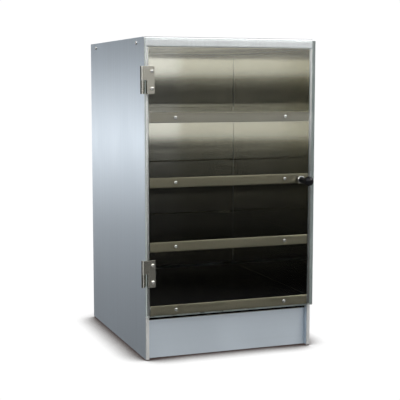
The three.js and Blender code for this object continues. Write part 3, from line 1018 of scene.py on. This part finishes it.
@dataclass
class TopPanel:
    """Top skin: deep front flange with a lip, rear flange, and side flanges inside the side skins."""

    casing: Casing
    side_flange_setback: float = 12 * MM

    def build(self) -> None:
        """Fold the sheet, add its side flanges and fit it."""
        c = self.casing
        left, right = c.inner
        low = c.top - c.top_flange
        path = [
            (c.back - c.middle, low), (c.back - c.middle, c.top - c.middle),
            (c.front + c.middle, c.top - c.middle), (c.front + c.middle, low + c.middle),
            (c.front + c.flange_lip, low + c.middle),
        ]
        skin = flanged(
            formed("top_skin", path, (left, right), c.sheet, c.bend), "top_skin",
            (left, c.front + self.side_flange_setback, low + c.sheet),
            (right, c.back - self.side_flange_setback, c.top - c.middle), c.sheet,
        )
        fit(skin, TOP_SKIN, Body.CABINET, "skin_steel", "top_panel")
        # Painted shade: the upward faces of the top skin take the darker copy of its steel.
        refinish(skin, PAINTED_TOP_SHADE, lambda middle, normal: normal.z > 0.25 and middle.z > c.top - c.bend - c.sheet)


@dataclass
class Shelves:
    """Four alike shelves: deck, front flange with a return lip, and side flanges against the liner."""

    casing: Casing
    lip: float = 8 * MM
    side_flange: float = 11 * MM
    front_setback: float = 20 * MM
    rear_setback: float = 5 * MM

    def build(self) -> None:
        """Fold the top shelf, copy it down and fit all four."""
        c = self.casing
        low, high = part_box("shelf_1")
        path = [
            (low.y + self.lip, low.z + c.middle), (low.y + c.middle, low.z + c.middle),
            (low.y + c.middle, high.z - c.middle), (high.y, high.z - c.middle),
        ]
        first = flanged(
            formed("shelf", path, (low.x, high.x), c.sheet, c.bend), "shelf_sheet_1",
            (low.x, low.y + self.front_setback, high.z - self.side_flange),
            (high.x, high.y - self.rear_setback, high.z - c.middle), c.sheet,
        )
        for sheet in stack(first, "shelf_sheet", "shelf", SHELF_PAINTED_SHADE, "shelf_steel"):
            # Painted shade: each deck's upward faces take the darker copy of the shelf steel.
            refinish(sheet, DECK_PAINTED_SHADE, lambda middle, normal: normal.z > 0.9)


@dataclass
class Base:
    """Kick panel with its top ledge, and four turned feet."""

    casing: Casing
    foot_rim: float = 1.5 * MM

    def kick(self) -> None:
        """Fold and fit the kick panel."""
        c = self.casing
        low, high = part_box("kick_panel")
        face = low.y + c.middle
        path = [(face, low.z), (face, high.z - c.middle), (high.y, high.z - c.middle)]
        sheet = formed("kick_sheet", path, (low.x, high.x), c.sheet, c.bend)
        fit(sheet, KICK, Body.CABINET, "skin_steel", "kick_panel")
        # Painted shade: the ledge's upward faces, in the gap under the lowest shelf's flange.
        refinish(sheet, PAINTED_SHADE_STEEL, lambda middle, normal: normal.z > 0.3)

    def feet(self) -> None:
        """Turn one foot, copy it and fit all four."""
        low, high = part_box("foot_front_left")
        radius = (high.x - low.x) / 2
        height = high.z - low.z
        profile = [
            (0, 0), (radius * 0.55, 0), (radius * 0.6, 0.4 * MM), (radius - self.foot_rim, 0.1 * MM),
            (radius - 0.3 * MM, 0.6 * MM), (radius, self.foot_rim), (radius - 0.4 * MM, height * 0.6),
            (radius - 1 * MM, height), (0, height),
        ]
        first = middle_of("foot_front_left")
        upward = Matrix.Rotation(math.pi / 2, 4, "X")
        pattern = turned("foot", profile, (first.x, first.y, low.z), upward)
        for end in ("front", "rear"):
            for side in ("left", "right"):
                node = f"foot_{end}_{side}"
                foot = copy_of(pattern, f"rubber_{node}", Matrix.Translation(middle_of(node) - first))
                fit(foot, RUBBER, Body.CABINET, "foot_rubber", node)
        bpy.data.objects.remove(pattern)

    def build(self) -> None:
        """Make the kick panel and the feet."""
        self.kick()
        self.feet()


@dataclass
class PanHead:
    """Pan-head screw with a cross recess. Its head looks along +Y from the face at 0."""

    radius: float = 3.5 * MM
    height: float = 2 * MM
    shank: float = 2 * MM
    length: float = 5 * MM
    recess: float = 2.1 * MM
    slot_width: float = 0.95 * MM
    taper: Point = (0.45, 1, 0.6)

    def pattern(self) -> bpy.types.Object:
        """Turn the screw and cut its cross recess."""
        r, h = self.radius, self.height
        profile = [
            (0, -self.length), (self.shank * 0.7, -self.length), (self.shank, -self.length + 0.6 * MM),
            (self.shank, 0), (r * 0.96, 0), (r, h * 0.12), (r, h * 0.35), (r * 0.93, h * 0.62),
            (r * 0.78, h * 0.84), (r * 0.52, h * 0.96), (0, h),
        ]
        screw = turned("pan_head", profile, (0, 0, 0), Matrix.Identity(4), sides=32)
        screw = smooth(cut(screw, [self.wing(0), self.wing(math.pi / 2)]), 35)
        # Painted shade: faces inside the cross recess take the screw's second, near-black finish.
        for face in screw.data.polygons:
            middle = face.center
            inside = math.hypot(middle.x, middle.z) < self.recess and middle.y < h * 0.93
            face.material_index = 1 if inside and middle.y > h * 0.2 else 0
        return screw

    def wing(self, turn: float) -> bpy.types.Object:
        """One bar of the cross recess, narrower at its floor."""
        half, wide = self.recess, self.slot_width
        wing = brick("wing", (-half, self.height * 0.25, -wide / 2), (half, self.height + 1 * MM, wide / 2))
        pick(wing, "FACE", lambda middle, normal: normal.y < -0.5)
        bpy.ops.transform.resize(value=self.taper)
        bpy.ops.object.mode_set(mode="OBJECT")
        wing.data.transform(Matrix.Rotation(turn, 4, "Y"))
        return wing


@dataclass
class Fasteners:
    """All visible pan-head screws, each turned to a slightly different angle as screws are."""

    casing: Casing
    back_inset: float = 4.4 * MM
    back_stand: float = 0.1 * MM
    back_heights: tuple[float, ...] = (70 * MM, 305 * MM, 560 * MM)

    def drive(
        self, pattern: bpy.types.Object, name: str, base: Vector, facing: Facing, turn: float, body: Body,
        *nodes: str,
    ) -> None:
        """Copy a screw to a face and fit it.

        Args:
            pattern: The modelled screw.
            name: The copy's name.
            base: Where its axis meets the face under its head.
            facing: The way that its head looks.
            turn: Its angle about its own axis, in degrees.
            body: The body that it rides on.
            *nodes: The CAD nodes that it stands for.
        """
        spin = Matrix.Rotation(math.radians(turn), 4, "Y")
        screw = copy_of(pattern, name, Matrix.Translation(base) @ facing.value @ spin)
        fit(screw, SCREW, body, "screw_steel", *nodes)
        # The second finish is the painted shade of the cross recess.
        screw.data.materials.append(RECESS_PAINTED_SHADE.material())

    def at_node(self, node: str, facing: Facing, head: float) -> Vector:
        """Find where a CAD screw's axis meets the face under its head.

        Args:
            node: The screw's CAD node.
            facing: The way that its head looks.
            head: How far the face lies inside the outer end of the node's box.

        Returns:
            The point on the face.
        """
        low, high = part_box(node)
        base = (low + high) / 2
        if facing is Facing.FRONT:
            base.y = low.y + head
        elif facing is Facing.REAR:
            base.y = high.y - head
        elif facing is Facing.LEFT:
            base.x = low.x + head
        else:
            base.x = high.x - head
        return base

    def build(self) -> None:
        """Seat the side, shelf, hinge, knob and back screws."""
        c = self.casing
        size = PanHead()
        pattern = size.pattern()
        rows = [(f"{side}_side_screw_{end}", Facing[side.upper()], Body.CABINET)
                for side in ("left", "right") for end in ("front", "rear")]
        rows += [(f"shelf_{number}_screw_{side}", Facing.FRONT, Body.CABINET)
                 for number in ROWS for side in ("left", "right")]
        rows += [(f"{place}_hinge_screw_{end}", Facing.FRONT, Body.DOOR)
                 for place in ("upper", "lower") for end in ("top", "bottom")]
        for index, (node, facing, body) in enumerate(rows):
            base = self.at_node(node, facing, size.height)
            self.drive(pattern, f"pan_{node}", base, facing, 20 + 37 * index, body, node)
        slim = PanHead(radius=3.2 * MM, length=9 * MM)
        slim_pattern = slim.pattern()
        base = self.at_node("knob_screw", Facing.REAR, slim.height)
        self.drive(slim_pattern, "pan_knob_screw", base, Facing.REAR, 35, Body.DOOR, "knob_screw")
        small = PanHead(radius=2.8 * MM, height=1.6 * MM, length=3 * MM, recess=1.7 * MM).pattern()
        for side, x in (("left", c.left + self.back_inset), ("right", c.right - self.back_inset)):
            for number, height in enumerate(self.back_heights, start=1):
                base = Vector((x, c.back + self.back_stand, height))
                name = f"back_screw_{side}_{number}"
                self.drive(small, name, base, Facing.REAR, 15 + 50 * number, Body.CABINET)
        for used in (pattern, slim_pattern, small):
            bpy.data.objects.remove(used)


@dataclass
class DoorPane:
    """Clear door sheet with ground edges, drilled for the hinge and knob screws."""

    arris: float = 0.7 * MM
    drill: float = 2.4 * MM
    reflection_band: float = 5 * MM

    def build(self) -> None:
        """Grind the sheet's edges, drill it and fit it."""
        low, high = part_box("door_pane")
        pane = soften(brick("clear_door", low, high), self.arris)
        screws = [f"{place}_hinge_screw_{end}" for place in ("upper", "lower") for end in ("top", "bottom")]
        holes = []
        for node in (*screws, "knob_screw"):
            centre = middle_of(node)
            centre.y = (low.y + high.y) / 2
            holes.append(bar("drill", Axis.Y, self.drill, (high.y - low.y) * 3, centre, sides=24))
        pane = cut(pane, holes)
        # Split the sheet where the band of painted reflection along the right edge begins.
        reflection_band = high.x - self.reflection_band
        take(pane)
        bpy.ops.object.mode_set(mode="EDIT")
        bpy.ops.mesh.select_all(action="SELECT")
        bpy.ops.mesh.bisect(plane_co=(reflection_band, 0, 0), plane_no=(1, 0, 0))
        bpy.ops.object.mode_set(mode="OBJECT")
        fit(smooth(pane, 30), PANE, Body.DOOR, "clear_pane", "door_pane")
        # Painted reflection: besides the edge faces, a band of the rear face along the right edge takes the
        # dark edge finish, for the edge as seen through the sheet.
        refinish(
            pane, PANE_EDGE_AND_REFLECTION,
            lambda middle, normal: abs(normal.y) < 0.95 or normal.y > 0 and middle.x > reflection_band,
        )
        # Painted shade on the sheet's downward faces.
        refinish(pane, PANE_FOOT_PAINTED_SHADE, lambda middle, normal: normal.z < -0.5)


@dataclass
class Hinges:
    """Two lift-off hinges: a rolled leaf on the door over a rolled leaf and pin on the cabinet."""

    leaf: float = 1.2 * MM
    barrel: float = 3.2 * MM
    pin: float = 1.5 * MM
    curl_degrees: float = 318
    curl_steps: int = 20
    notch: float = 9 * MM
    joggle: float = 2.6 * MM
    clearance: float = 0.3 * MM
    bend: float = 0.6 * MM

    def axis(self, place: str) -> Vector:
        """The middle of a hinge's barrel."""
        low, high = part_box(f"{place}_hinge_door_leaf")
        fixed_low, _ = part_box(f"{place}_hinge_fixed_leaf")
        return Vector((fixed_low.x + self.barrel, low.y + self.barrel, (low.z + high.z) / 2))

    def curl(self, axis: Vector, start_degrees: float, way: int, height: float) -> list[Vector]:
        """Points round the barrel's middle line, from the tangent point on.

        Args:
            axis: The barrel's middle.
            start_degrees: Where the curl starts, from +X towards +Y.
            way: 1 to go round from +X towards +Y, or -1.
            height: Z of the points.

        Returns:
            The points in order.
        """
        radius = self.barrel - self.leaf / 2
        points = []
        for step in range(self.curl_steps + 1):
            angle = math.radians(start_degrees + way * self.curl_degrees * step / self.curl_steps)
            around = Vector((math.cos(angle), math.sin(angle), 0)) * radius
            points.append(Vector((axis.x, axis.y, height)) + around)
        return points

    def door_leaf(self, place: str) -> bpy.types.Object:
        """Plate over the pane, whose upper half goes on into the rolled knuckle."""
        axis = self.axis(place)
        low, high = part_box(f"{place}_hinge_door_leaf")
        y = low.y + self.leaf / 2
        stop = axis.x + self.notch
        leaf = strip(
            f"{place}_door_hinge_leaf", [Vector((high.x, y, low.z)), Vector((stop, y, low.z))],
            Vector((0, 0, high.z - low.z)),
        )
        pick(leaf, "FACE", lambda middle, normal: True)
        bpy.ops.mesh.subdivide(number_cuts=1)
        pick(leaf, "EDGE", lambda a, b: all(abs(p.x - stop) < TOUCH and p.z > axis.z - TOUCH for p in (a, b)))
        at = Vector((stop, y, 0))
        for point in self.curl(axis, -90, -1, 0):
            bpy.ops.mesh.extrude_region_move(TRANSFORM_OT_translate={"value": point - at})
            at = point
        bpy.ops.object.mode_set(mode="OBJECT")
        return fold(leaf, self.leaf, self.bend)

    def fixed_leaf(self, place: str) -> bpy.types.Object:
        """Plate behind the pane, joggled out to its lower knuckle, with the pin."""
        axis = self.axis(place)
        low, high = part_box(f"{place}_hinge_fixed_leaf")
        plate = high.y - self.leaf / 2
        joggle = Vector((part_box("left_side_panel")[0].x - self.joggle, plate, low.z))
        path = [Vector((high.x, plate, low.z)), joggle, *self.curl(axis, 90, 1, low.z)]
        across = Vector((0, 0, axis.z - self.clearance - low.z))
        leaf = fold(strip(f"{place}_fixed_hinge_leaf", path, across), self.leaf, self.bend)
        pin_half = (high.z - low.z) / 2
        centre = (low.z + high.z) / 2
        profile = [
            (0, -pin_half), (self.pin * 0.8, -pin_half), (self.pin, -pin_half + 0.4 * MM),
            (self.pin, pin_half - 0.8 * MM), (self.pin * 0.75, pin_half - 0.2 * MM), (0, pin_half),
        ]
        upward = Matrix.Rotation(math.pi / 2, 4, "X")
        pin = turned("pin", profile, (axis.x, axis.y, centre), upward, sides=24)
        return join([leaf, pin], f"{place}_fixed_hinge_leaf")

    def build(self) -> None:
        """Make and fit both hinges' leaves."""
        for place in ("upper", "lower"):
            door, fixed = self.door_leaf(place), self.fixed_leaf(place)
            fit(door, HINGE, Body.DOOR, "hinge_steel", f"{place}_hinge_door_leaf")
            fit(fixed, HINGE, Body.CABINET, "hinge_steel", f"{place}_hinge_fixed_leaf")
            for leaf in (door, fixed):
                # Painted dark reflection on the knuckles' left-facing faces.
                refinish(leaf, PAINTED_SHADE_STEEL, lambda middle, normal: normal.x < -0.45)
                # Painted highlight line on the faces between the knuckles' left side and their front.
                refinish(leaf, PAINTED_HIGHLIGHT, lambda middle, normal: -0.45 < normal.x < -0.04 and normal.y < 0)


@dataclass
class Knob:
    """Black ball knob on a flared neck, over a bright ferrule."""

    ball: float = 9.3 * MM
    neck: float = 6.2 * MM
    waist_degrees: float = 148
    steps: int = 22
    bore: float = 2.4 * MM
    rim: float = 0.35 * MM

    def build(self) -> None:
        """Turn the knob and its ferrule and fit them."""
        low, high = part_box("knob")
        axis = middle_of("knob_ferrule")
        length = high.y - low.y
        centre = length - self.ball
        profile = [(0, 0), (self.neck - 0.3 * MM, 0), (self.neck, 0.3 * MM), (self.neck - 0.1 * MM, 2.2 * MM)]
        for step in range(self.steps + 1):
            angle = math.radians(self.waist_degrees) * (1 - step / self.steps)
            profile.append((self.ball * math.sin(angle), centre + self.ball * math.cos(angle)))
        knob = turned("ball_knob", profile, (axis.x, high.y, axis.z), Facing.FRONT.value, sides=64)
        fit(knob, GLOSS_BLACK, Body.DOOR, "black_knob", "knob")
        low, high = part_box("knob_ferrule")
        radius = (high.x - low.x) / 2
        depth = high.y - low.y
        profile = [
            (self.bore, 0), (radius - self.rim, 0), (radius, self.rim), (radius, depth - self.rim),
            (radius - self.rim, depth), (self.bore, depth),
        ]
        ferrule = turned("knob_ring", profile, (axis.x, high.y, axis.z), Facing.FRONT.value, sides=64)
        fit(ferrule, CHROME, Body.DOOR, "bright_chrome", "knob_ferrule")


@dataclass
class RearControls:
    """Inlet, rocker switch, pilot lamp and thermostat dial on the back panel."""

    nodes: dict[str, bpy.types.Object]
    edge: float = 0.6 * MM
    flutes: int = 14
    flute: float = 1.5 * MM
    flute_inset: float = 3.6 * MM
    grip_start: float = 5 * MM
    pointer_half: float = 1.2 * MM
    bezel: float = 4.5 * MM
    stem_inset: float = 1.5 * MM

    def dial(self) -> bpy.types.Object:
        """Turn the thermostat's dial, flute its grip and add its pointer."""
        low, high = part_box("thermostat_knob")
        centre = middle_of("thermostat_knob")
        radius, depth = (high.x - low.x) / 2, high.y - low.y
        profile = [
            (0, 0), (radius - 0.6 * MM, 0), (radius, 0.6 * MM), (radius, 2.4 * MM),
            (radius - 1 * MM, 3.2 * MM), (radius - 4 * MM, 4.4 * MM), (radius - 5 * MM, depth - 1.6 * MM),
            (radius - 5.6 * MM, depth - 0.5 * MM), (radius - 7 * MM, depth), (0, depth),
        ]
        grip = turned("dial", profile, (0, 0, 0), Matrix.Identity(4), sides=72)
        cutters = []
        reach = radius - self.flute_inset
        for number in range(1, self.flutes):
            angle = math.pi / 2 + 2 * math.pi * number / self.flutes
            middle = (reach * math.cos(angle), self.grip_start + depth / 2, reach * math.sin(angle))
            cutters.append(bar("flute", Axis.Y, self.flute, depth, middle, 12))
        grip = smooth(cut(grip, cutters), 40)
        pointer = brick(
            "pointer", (-self.pointer_half, 4 * MM, 5 * MM), (self.pointer_half, depth, radius - 1.6 * MM),
        )
        dial = join([grip, smooth(soften(pointer, 0.5 * MM))], "thermostat_dial")
        dial.data.transform(Matrix.Translation((centre.x, low.y, centre.z)))
        return dial

    def lamp(self) -> bpy.types.Object:
        """Turn the pilot lamp's rim and domed lens."""
        low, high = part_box("pilot_lamp")
        centre = middle_of("pilot_lamp")
        radius, depth = (high.x - low.x) / 2, high.y - low.y
        stem = radius - self.stem_inset
        face = depth - self.bezel
        profile = [
            (0, 0), (stem, 0), (stem, face), (radius, face), (radius, face + 1.6 * MM),
            (radius - 0.7 * MM, face + 2.4 * MM), (radius - 2 * MM, face + 2.5 * MM),
            (radius - 2.2 * MM, face + 3.2 * MM), (radius - 3.2 * MM, face + self.bezel * 0.92), (0, depth),
        ]
        return turned("pilot_lens", profile, (centre.x, low.y, centre.z), Facing.REAR.value)

    def build(self) -> None:
        """Make and fit the controls."""
        for node, name, finish, body in (
            ("power_inlet", "inlet_socket", SATIN_BLACK, Body.CABINET),
            ("switch_body", "switch_frame", SATIN_BLACK, Body.CABINET),
            ("switch_rocker", "rocker_key", GLOSS_BLACK, Body.ROCKER),
        ):
            fit(eased_copy(self.nodes[node], name, self.edge), finish, body, "black_plastic", node)
        fit(self.lamp(), LAMP, Body.CABINET, "lamp_red", "pilot_lamp")
        fit(self.dial(), SATIN_BLACK, Body.DIAL, "black_plastic", "thermostat_knob")


@dataclass
class Chamber:
    """Lining of the heated chamber: side, back and ceiling sheets, and the pads in the side walls."""

    ease: float = 0.12 * MM
    pad_cuts: int = 24
    pad_swell: float = 0.25 * MM
    pad_clump: float = 30 * MM

    def pad(self, node: str) -> bpy.types.Object:
        """Cut a pad and let its faces stand a little uneven."""
        low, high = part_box(node)
        slack = Vector((self.pad_swell, 0, 0))
        pad = brick(f"wool_{node}", low + slack, high - slack)
        pick(pad, "FACE", lambda middle, normal: True)
        bpy.ops.mesh.subdivide(number_cuts=self.pad_cuts)
        bpy.ops.object.mode_set(mode="OBJECT")
        matting = bpy.data.textures.new("matting", "CLOUDS")
        matting.noise_scale = self.pad_clump
        finish_with(
            pad, "DISPLACE", texture=matting, strength=self.pad_swell, mid_level=0.5, direction="X",
            texture_coords="LOCAL",
        )
        bpy.data.textures.remove(matting)
        return smooth(pad, 60)

    def build(self) -> None:
        """Make and fit the lining and the pads."""
        for side in ("left", "right", "back", "ceiling"):
            node = f"liner_{side}"
            sheet = plate(f"lining_{side}", *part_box(node), self.ease)
            fit(sheet, LINER, Body.CABINET, "liner_steel", node)
        for side in ("left", "right"):
            node = f"insulation_{side}"
            fit(self.pad(node), WOOL, Body.CABINET, "mineral_wool", node)


@dataclass
class BackPanel:
    """Flat back sheet with its openings for the rear controls."""

    margin: float = 2 * MM
    lamp_stem: float = 1 * MM
    shaft: float = 4 * MM
    overrun: float = 5 * MM
    ease: float = 0.12 * MM

    def build(self) -> None:
        """Cut the openings and fit the sheet."""
        low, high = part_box("back_panel")
        sheet = brick("back_sheet", low, high)
        through = Vector((0, self.overrun, 0))
        middle = (low.y + high.y) / 2
        cutters = []
        for node in ("power_inlet", "switch_body"):
            near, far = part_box(node)
            inset = Vector((self.margin, 0, self.margin))
            near, far = near + inset, far - inset
            near.y = far.y = middle
            cutters.append(brick("opening", near - through, far + through))
        lamp_low, lamp_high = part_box("pilot_lamp")
        radius = (lamp_high.x - lamp_low.x) / 2 - self.lamp_stem
        for node, size in (("pilot_lamp", radius), ("thermostat_knob", self.shaft)):
            centre = middle_of(node)
            centre.y = middle
            if node == "thermostat_knob":
                centre.z = middle_of("thermostat").z
            cutters.append(bar("opening", Axis.Y, size, through.y * 2, centre))
        sheet = smooth(soften(cut(sheet, cutters), self.ease, angle=60), 40)
        fit(sheet, SKIN, Body.CABINET, "skin_steel", "back_panel")


@dataclass
class HiddenSteel:
    """Galvanised parts inside: cross bars behind the shelf flanges, bottom pan and heater bracket."""

    sheet: float = 1 * MM
    leaf: float = 1.2 * MM
    bend: float = 1.4 * MM
    bracket_foot: float = 13 * MM

    def crossbars(self) -> None:
        """Fold the top cross bar, copy it down and fit all four."""
        low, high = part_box("crossbar_1")
        half = self.leaf / 2
        path = [(low.y + half, low.z), (low.y + half, high.z - half), (high.y, high.z - half)]
        first = formed("cross_bar_1", path, (low.x, high.x), self.leaf, self.bend)
        stack(first, "cross_bar", "crossbar", ZINC, "zinc_steel")

    def pan(self) -> None:
        """Fold and fit the bottom pan."""
        low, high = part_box("bottom_pan")
        half = self.sheet / 2
        path = [
            (low.x + half, high.z), (low.x + half, low.z + half), (high.x - half, low.z + half),
            (high.x - half, high.z),
        ]
        corners = [Vector((x, low.y, z)) for x, z in path]
        pan = fold(strip("floor_pan", corners, Vector((0, high.y - low.y, 0))), self.sheet, self.bend)
        fit(pan, ZINC, Body.CABINET, "zinc_steel", "bottom_pan")

    def bracket(self) -> None:
        """Fold and fit the heater's bracket."""
        low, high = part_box("heater_bracket")
        half = self.leaf / 2
        leg = high.y - self.bracket_foot
        path = [(low.y, high.z - half), (leg, high.z - half), (leg, low.z + half), (high.y, low.z + half)]
        bracket = formed("element_bracket", path, (low.x, high.x), self.leaf, self.bend)
        fit(bracket, ZINC, Body.CABINET, "zinc_steel", "heater_bracket")

    def build(self) -> None:
        """Make every part."""
        self.crossbars()
        self.pan()
        self.bracket()


@dataclass
class BaseInternals:
    """Heating element, fan and thermostat in the base, and the door's magnet catch."""

    nodes: dict[str, bpy.types.Object]
    ease: float = 0.4 * MM
    blade_ease: float = 0.15 * MM

    def build(self) -> None:
        """Finish the CAD shapes with round edges and fit them."""
        element = eased_copy(self.nodes["heating_element"], "sheathed_element", angle=50)
        fit(element, SHEATH, Body.CABINET, "element_sheath", "heating_element")
        for node, name, ease, finish, body, slot in (
            ("fan_motor", "motor_block", self.ease, SATIN_BLACK, Body.CABINET, "motor_black"),
            ("fan_impeller", "bladed_impeller", self.blade_ease, ZINC, Body.IMPELLER, "zinc_steel"),
            ("thermostat", "thermostat_box", self.ease, ZINC, Body.CABINET, "zinc_steel"),
        ):
            fit(eased_copy(self.nodes[node], name, ease), finish, body, slot, node)
        magnet = plate("magnet_block", *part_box("catch_magnet"), self.ease)
        fit(magnet, SATIN_BLACK, Body.CABINET, "black_plastic", "catch_magnet")
        strike = plate("strike_bar", *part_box("strike_plate"), self.ease)
        fit(strike, ZINC, Body.DOOR, "zinc_steel", "strike_plate")


# ---------------------------------------------------------------------------------------------------------
# Studio
# ---------------------------------------------------------------------------------------------------------


@dataclass(frozen=True)
class SoftBox:
    """A square lamp that the camera does not see."""

    name: str
    place: Point
    aim: Point
    size: float
    power: float

    def hang(self) -> None:
        """Hang the lamp and turn it to the point that it lights."""
        data = bpy.data.lights.new(self.name, "AREA")
        data.size = self.size
        data.energy = self.power
        lamp = bpy.data.objects.new(self.name, data)
        lamp.location = self.place
        lamp.rotation_euler = (Vector(self.aim) - Vector(self.place)).to_track_quat("-Z", "Y").to_euler()
        lamp.visible_camera = False
        bpy.context.scene.collection.objects.link(lamp)


@dataclass
class Studio:
    """Seamless white set: a pale floor, a sky of soft boxes that only reflections see, and the camera.

    The sky is a ramp of brightness by elevation in degrees in front of the cabinet and another behind it. In
    front it is dimmed past a flag at the left and under a lid overhead.
    """

    eye: Point = (-0.7224, -1.9850, 0.5215)
    heading_degrees: float = 20.18
    dip_degrees: float = 6.46
    lens_mm: float = 91.46
    white: float = 1.02
    floor_radius: float = 2.5
    shadow: Colour = (0.06, 0.045, 0.042)
    shadow_reach: float = 0.08
    shadow_span: Pair = (0.51, 0.86)
    reach: float = 0.35
    front: tuple[Pair, ...] = (
        (-20, 0.36), (-14, 0.34), (-12.5, 0.08), (-11, 0.01), (-3.2, 0.01), (-2.8, 1.0), (-1.7, 1.1),
        (-1.4, 0.02), (0.3, 0.02), (0.7, 1.1), (2.6, 1.2), (3.3, 0.06), (15, 0.06), (18.5, 4.0), (20, 4.0),
    )
    rear: tuple[Pair, ...] = (
        (-20, 0.21), (-13, 0.23), (-8, 0.35), (-5.5, 0.68), (-3.0, 1.5), (-1, 0.9), (2, 0.28), (8, 0.17),
        (14, 0.25), (20, 1.2),
    )
    flag: Pair = (-0.45, -0.62)
    flag_light: float = 0.75
    lid: Pair = (0.60, 0.85)
    lid_light: float = 0.40
    turn: Pair = (-0.25, 0.25)
    boxes: tuple[SoftBox, ...] = (
        SoftBox("key_box", (1.07, -0.74, 1.39), (0.15, -0.25, 0.33), 0.40, 14.0),
        SoftBox("fill_box", (-1.9, -0.9, 1.5), (0, 0, 0.3), 0.9, 4.0),
    )

    def camera(self) -> None:
        """Place the camera."""
        data = bpy.data.cameras.new("camera")
        data.lens = self.lens_mm
        data.sensor_width = 36
        data.clip_end = 50
        camera = bpy.data.objects.new("camera", data)
        camera.location = self.eye
        camera.rotation_euler = (math.radians(90 - self.dip_degrees), 0, -math.radians(self.heading_degrees))
        bpy.context.scene.collection.objects.link(camera)
        bpy.context.scene.camera = camera

    def floor(self) -> None:
        """Lay a round white floor, darker close to the cabinet, that reflections look through."""
        clear_selection()
        bpy.ops.mesh.primitive_circle_add(
            vertices=96, radius=self.floor_radius, fill_type="NGON", location=(0, 0, 0),
        )
        floor = settle(bpy.context.object, "studio_floor")
        nodes = Nodes("studio_floor")
        nodes.tree.nodes.remove(nodes.shader)
        distance = {"Distance": self.shadow_reach}
        near = nodes.add("ShaderNodeAmbientOcclusion", distance, samples=16).outputs["AO"]
        grain = nodes.span(nodes.noise((40, 40, 40)), 0, 1, -0.01, 0.01)
        colour = nodes.blend(
            nodes.span(nodes.sum(near, grain), *self.shadow_span), self.shadow, (1.0, 1.0, 1.0),
        )
        glow = nodes.add("ShaderNodeEmission", {"Color": colour, "Strength": self.white}).outputs[0]
        mirrored = nodes.span(nodes.add("ShaderNodeLightPath", {}).outputs["Glossy Depth"], 0, 1)
        away = nodes.add("ShaderNodeBsdfTransparent", {}).outputs[0]
        lit = nodes.add("ShaderNodeMixShader", {0: mirrored, 1: glow, 2: away}).outputs[0]
        nodes.feed(nodes.tree.nodes["Material Output"].inputs["Surface"], lit)
        floor.data.materials.append(nodes.material)
        floor.visible_glossy = False

    def ramp(
        self, wiring: Wiring, height: bpy.types.NodeSocket, stops: Sequence[Pair],
    ) -> bpy.types.NodeSocket:
        """Add a brightness ramp over elevation.

        Args:
            wiring: The world's nodes.
            height: The direction's Z, spread so that +-reach is 0 to 1.
            stops: Elevation in degrees and brightness.

        Returns:
            The ramp's colour.
        """
        node = wiring.add("ShaderNodeValToRGB", {0: height})
        node.color_ramp.interpolation = "EASE"
        elements = node.color_ramp.elements
        while len(elements) < len(stops):
            elements.new(0.5)
        for element, (degrees, _) in zip(elements, stops):
            element.position = (math.sin(math.radians(degrees)) + self.reach) / (2 * self.reach)
        for element, (_, light) in zip(elements, stops):
            element.color = (light, light, light, 1)
        return node.outputs[0]

    def sky(self) -> None:
        """Light the set: plain white for the camera, soft boxes by elevation for every reflection."""
        world = bpy.data.worlds.new("studio")
        bpy.context.scene.world = world
        wiring = Wiring(world)
        seen_way = wiring.add("ShaderNodeTexCoord", {}).outputs["Generated"]
        way = wiring.add("ShaderNodeSeparateXYZ", {0: seen_way}).outputs
        soft = {"interpolation_type": "SMOOTHSTEP"}
        height = wiring.span(way["Z"], -self.reach, self.reach)
        behind = wiring.span(way["Y"], *self.turn, **soft)
        flag = wiring.span(way["X"], *self.flag, 1.0, self.flag_light, **soft)
        lid = wiring.span(way["Z"], *self.lid, 1.0, self.lid_light, **soft)
        dimmed = wiring.add("ShaderNodeMath", {0: flag, 1: lid}, operation="MULTIPLY").outputs[0]
        front = self.ramp(wiring, height, self.front)
        shaded = wiring.add("ShaderNodeVectorMath", {0: front, "Scale": dimmed}, operation="SCALE").outputs[0]
        boxes = wiring.blend(behind, shaded, self.ramp(wiring, height, self.rear))
        path = wiring.add("ShaderNodeLightPath", {}).outputs
        bounced = wiring.sum(path["Glossy Depth"], path["Diffuse Depth"], use_clamp=True)
        seen = wiring.blend(bounced, (self.white, self.white, self.white), boxes)
        wiring.feed(wiring.tree.nodes["Background"].inputs["Color"], seen)

    def build(self) -> None:
        """Set up the whole studio."""
        bpy.context.scene.view_settings.view_transform = "Standard"
        self.camera()
        self.floor()
        self.sky()
        for box in self.boxes:
            box.hang()


def main() -> None:
    """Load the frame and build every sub-assembly in order."""
    logging.basicConfig(level=logging.INFO, format="%(name)s: %(message)s")
    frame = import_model()
    casing = Casing()
    Studio().build()
    SidePanels(casing).build()
    TopPanel(casing).build()
    Shelves(casing).build()
    Base(casing).build()
    DoorPane().build()
    Hinges().build()
    Knob().build()
    Fasteners(casing).build()
    Chamber().build()
    BackPanel().build()
    HiddenSteel().build()
    RearControls(frame["nodes"]).build()
    BaseInternals(frame["nodes"]).build()


if __name__ == "__main__":
    main()
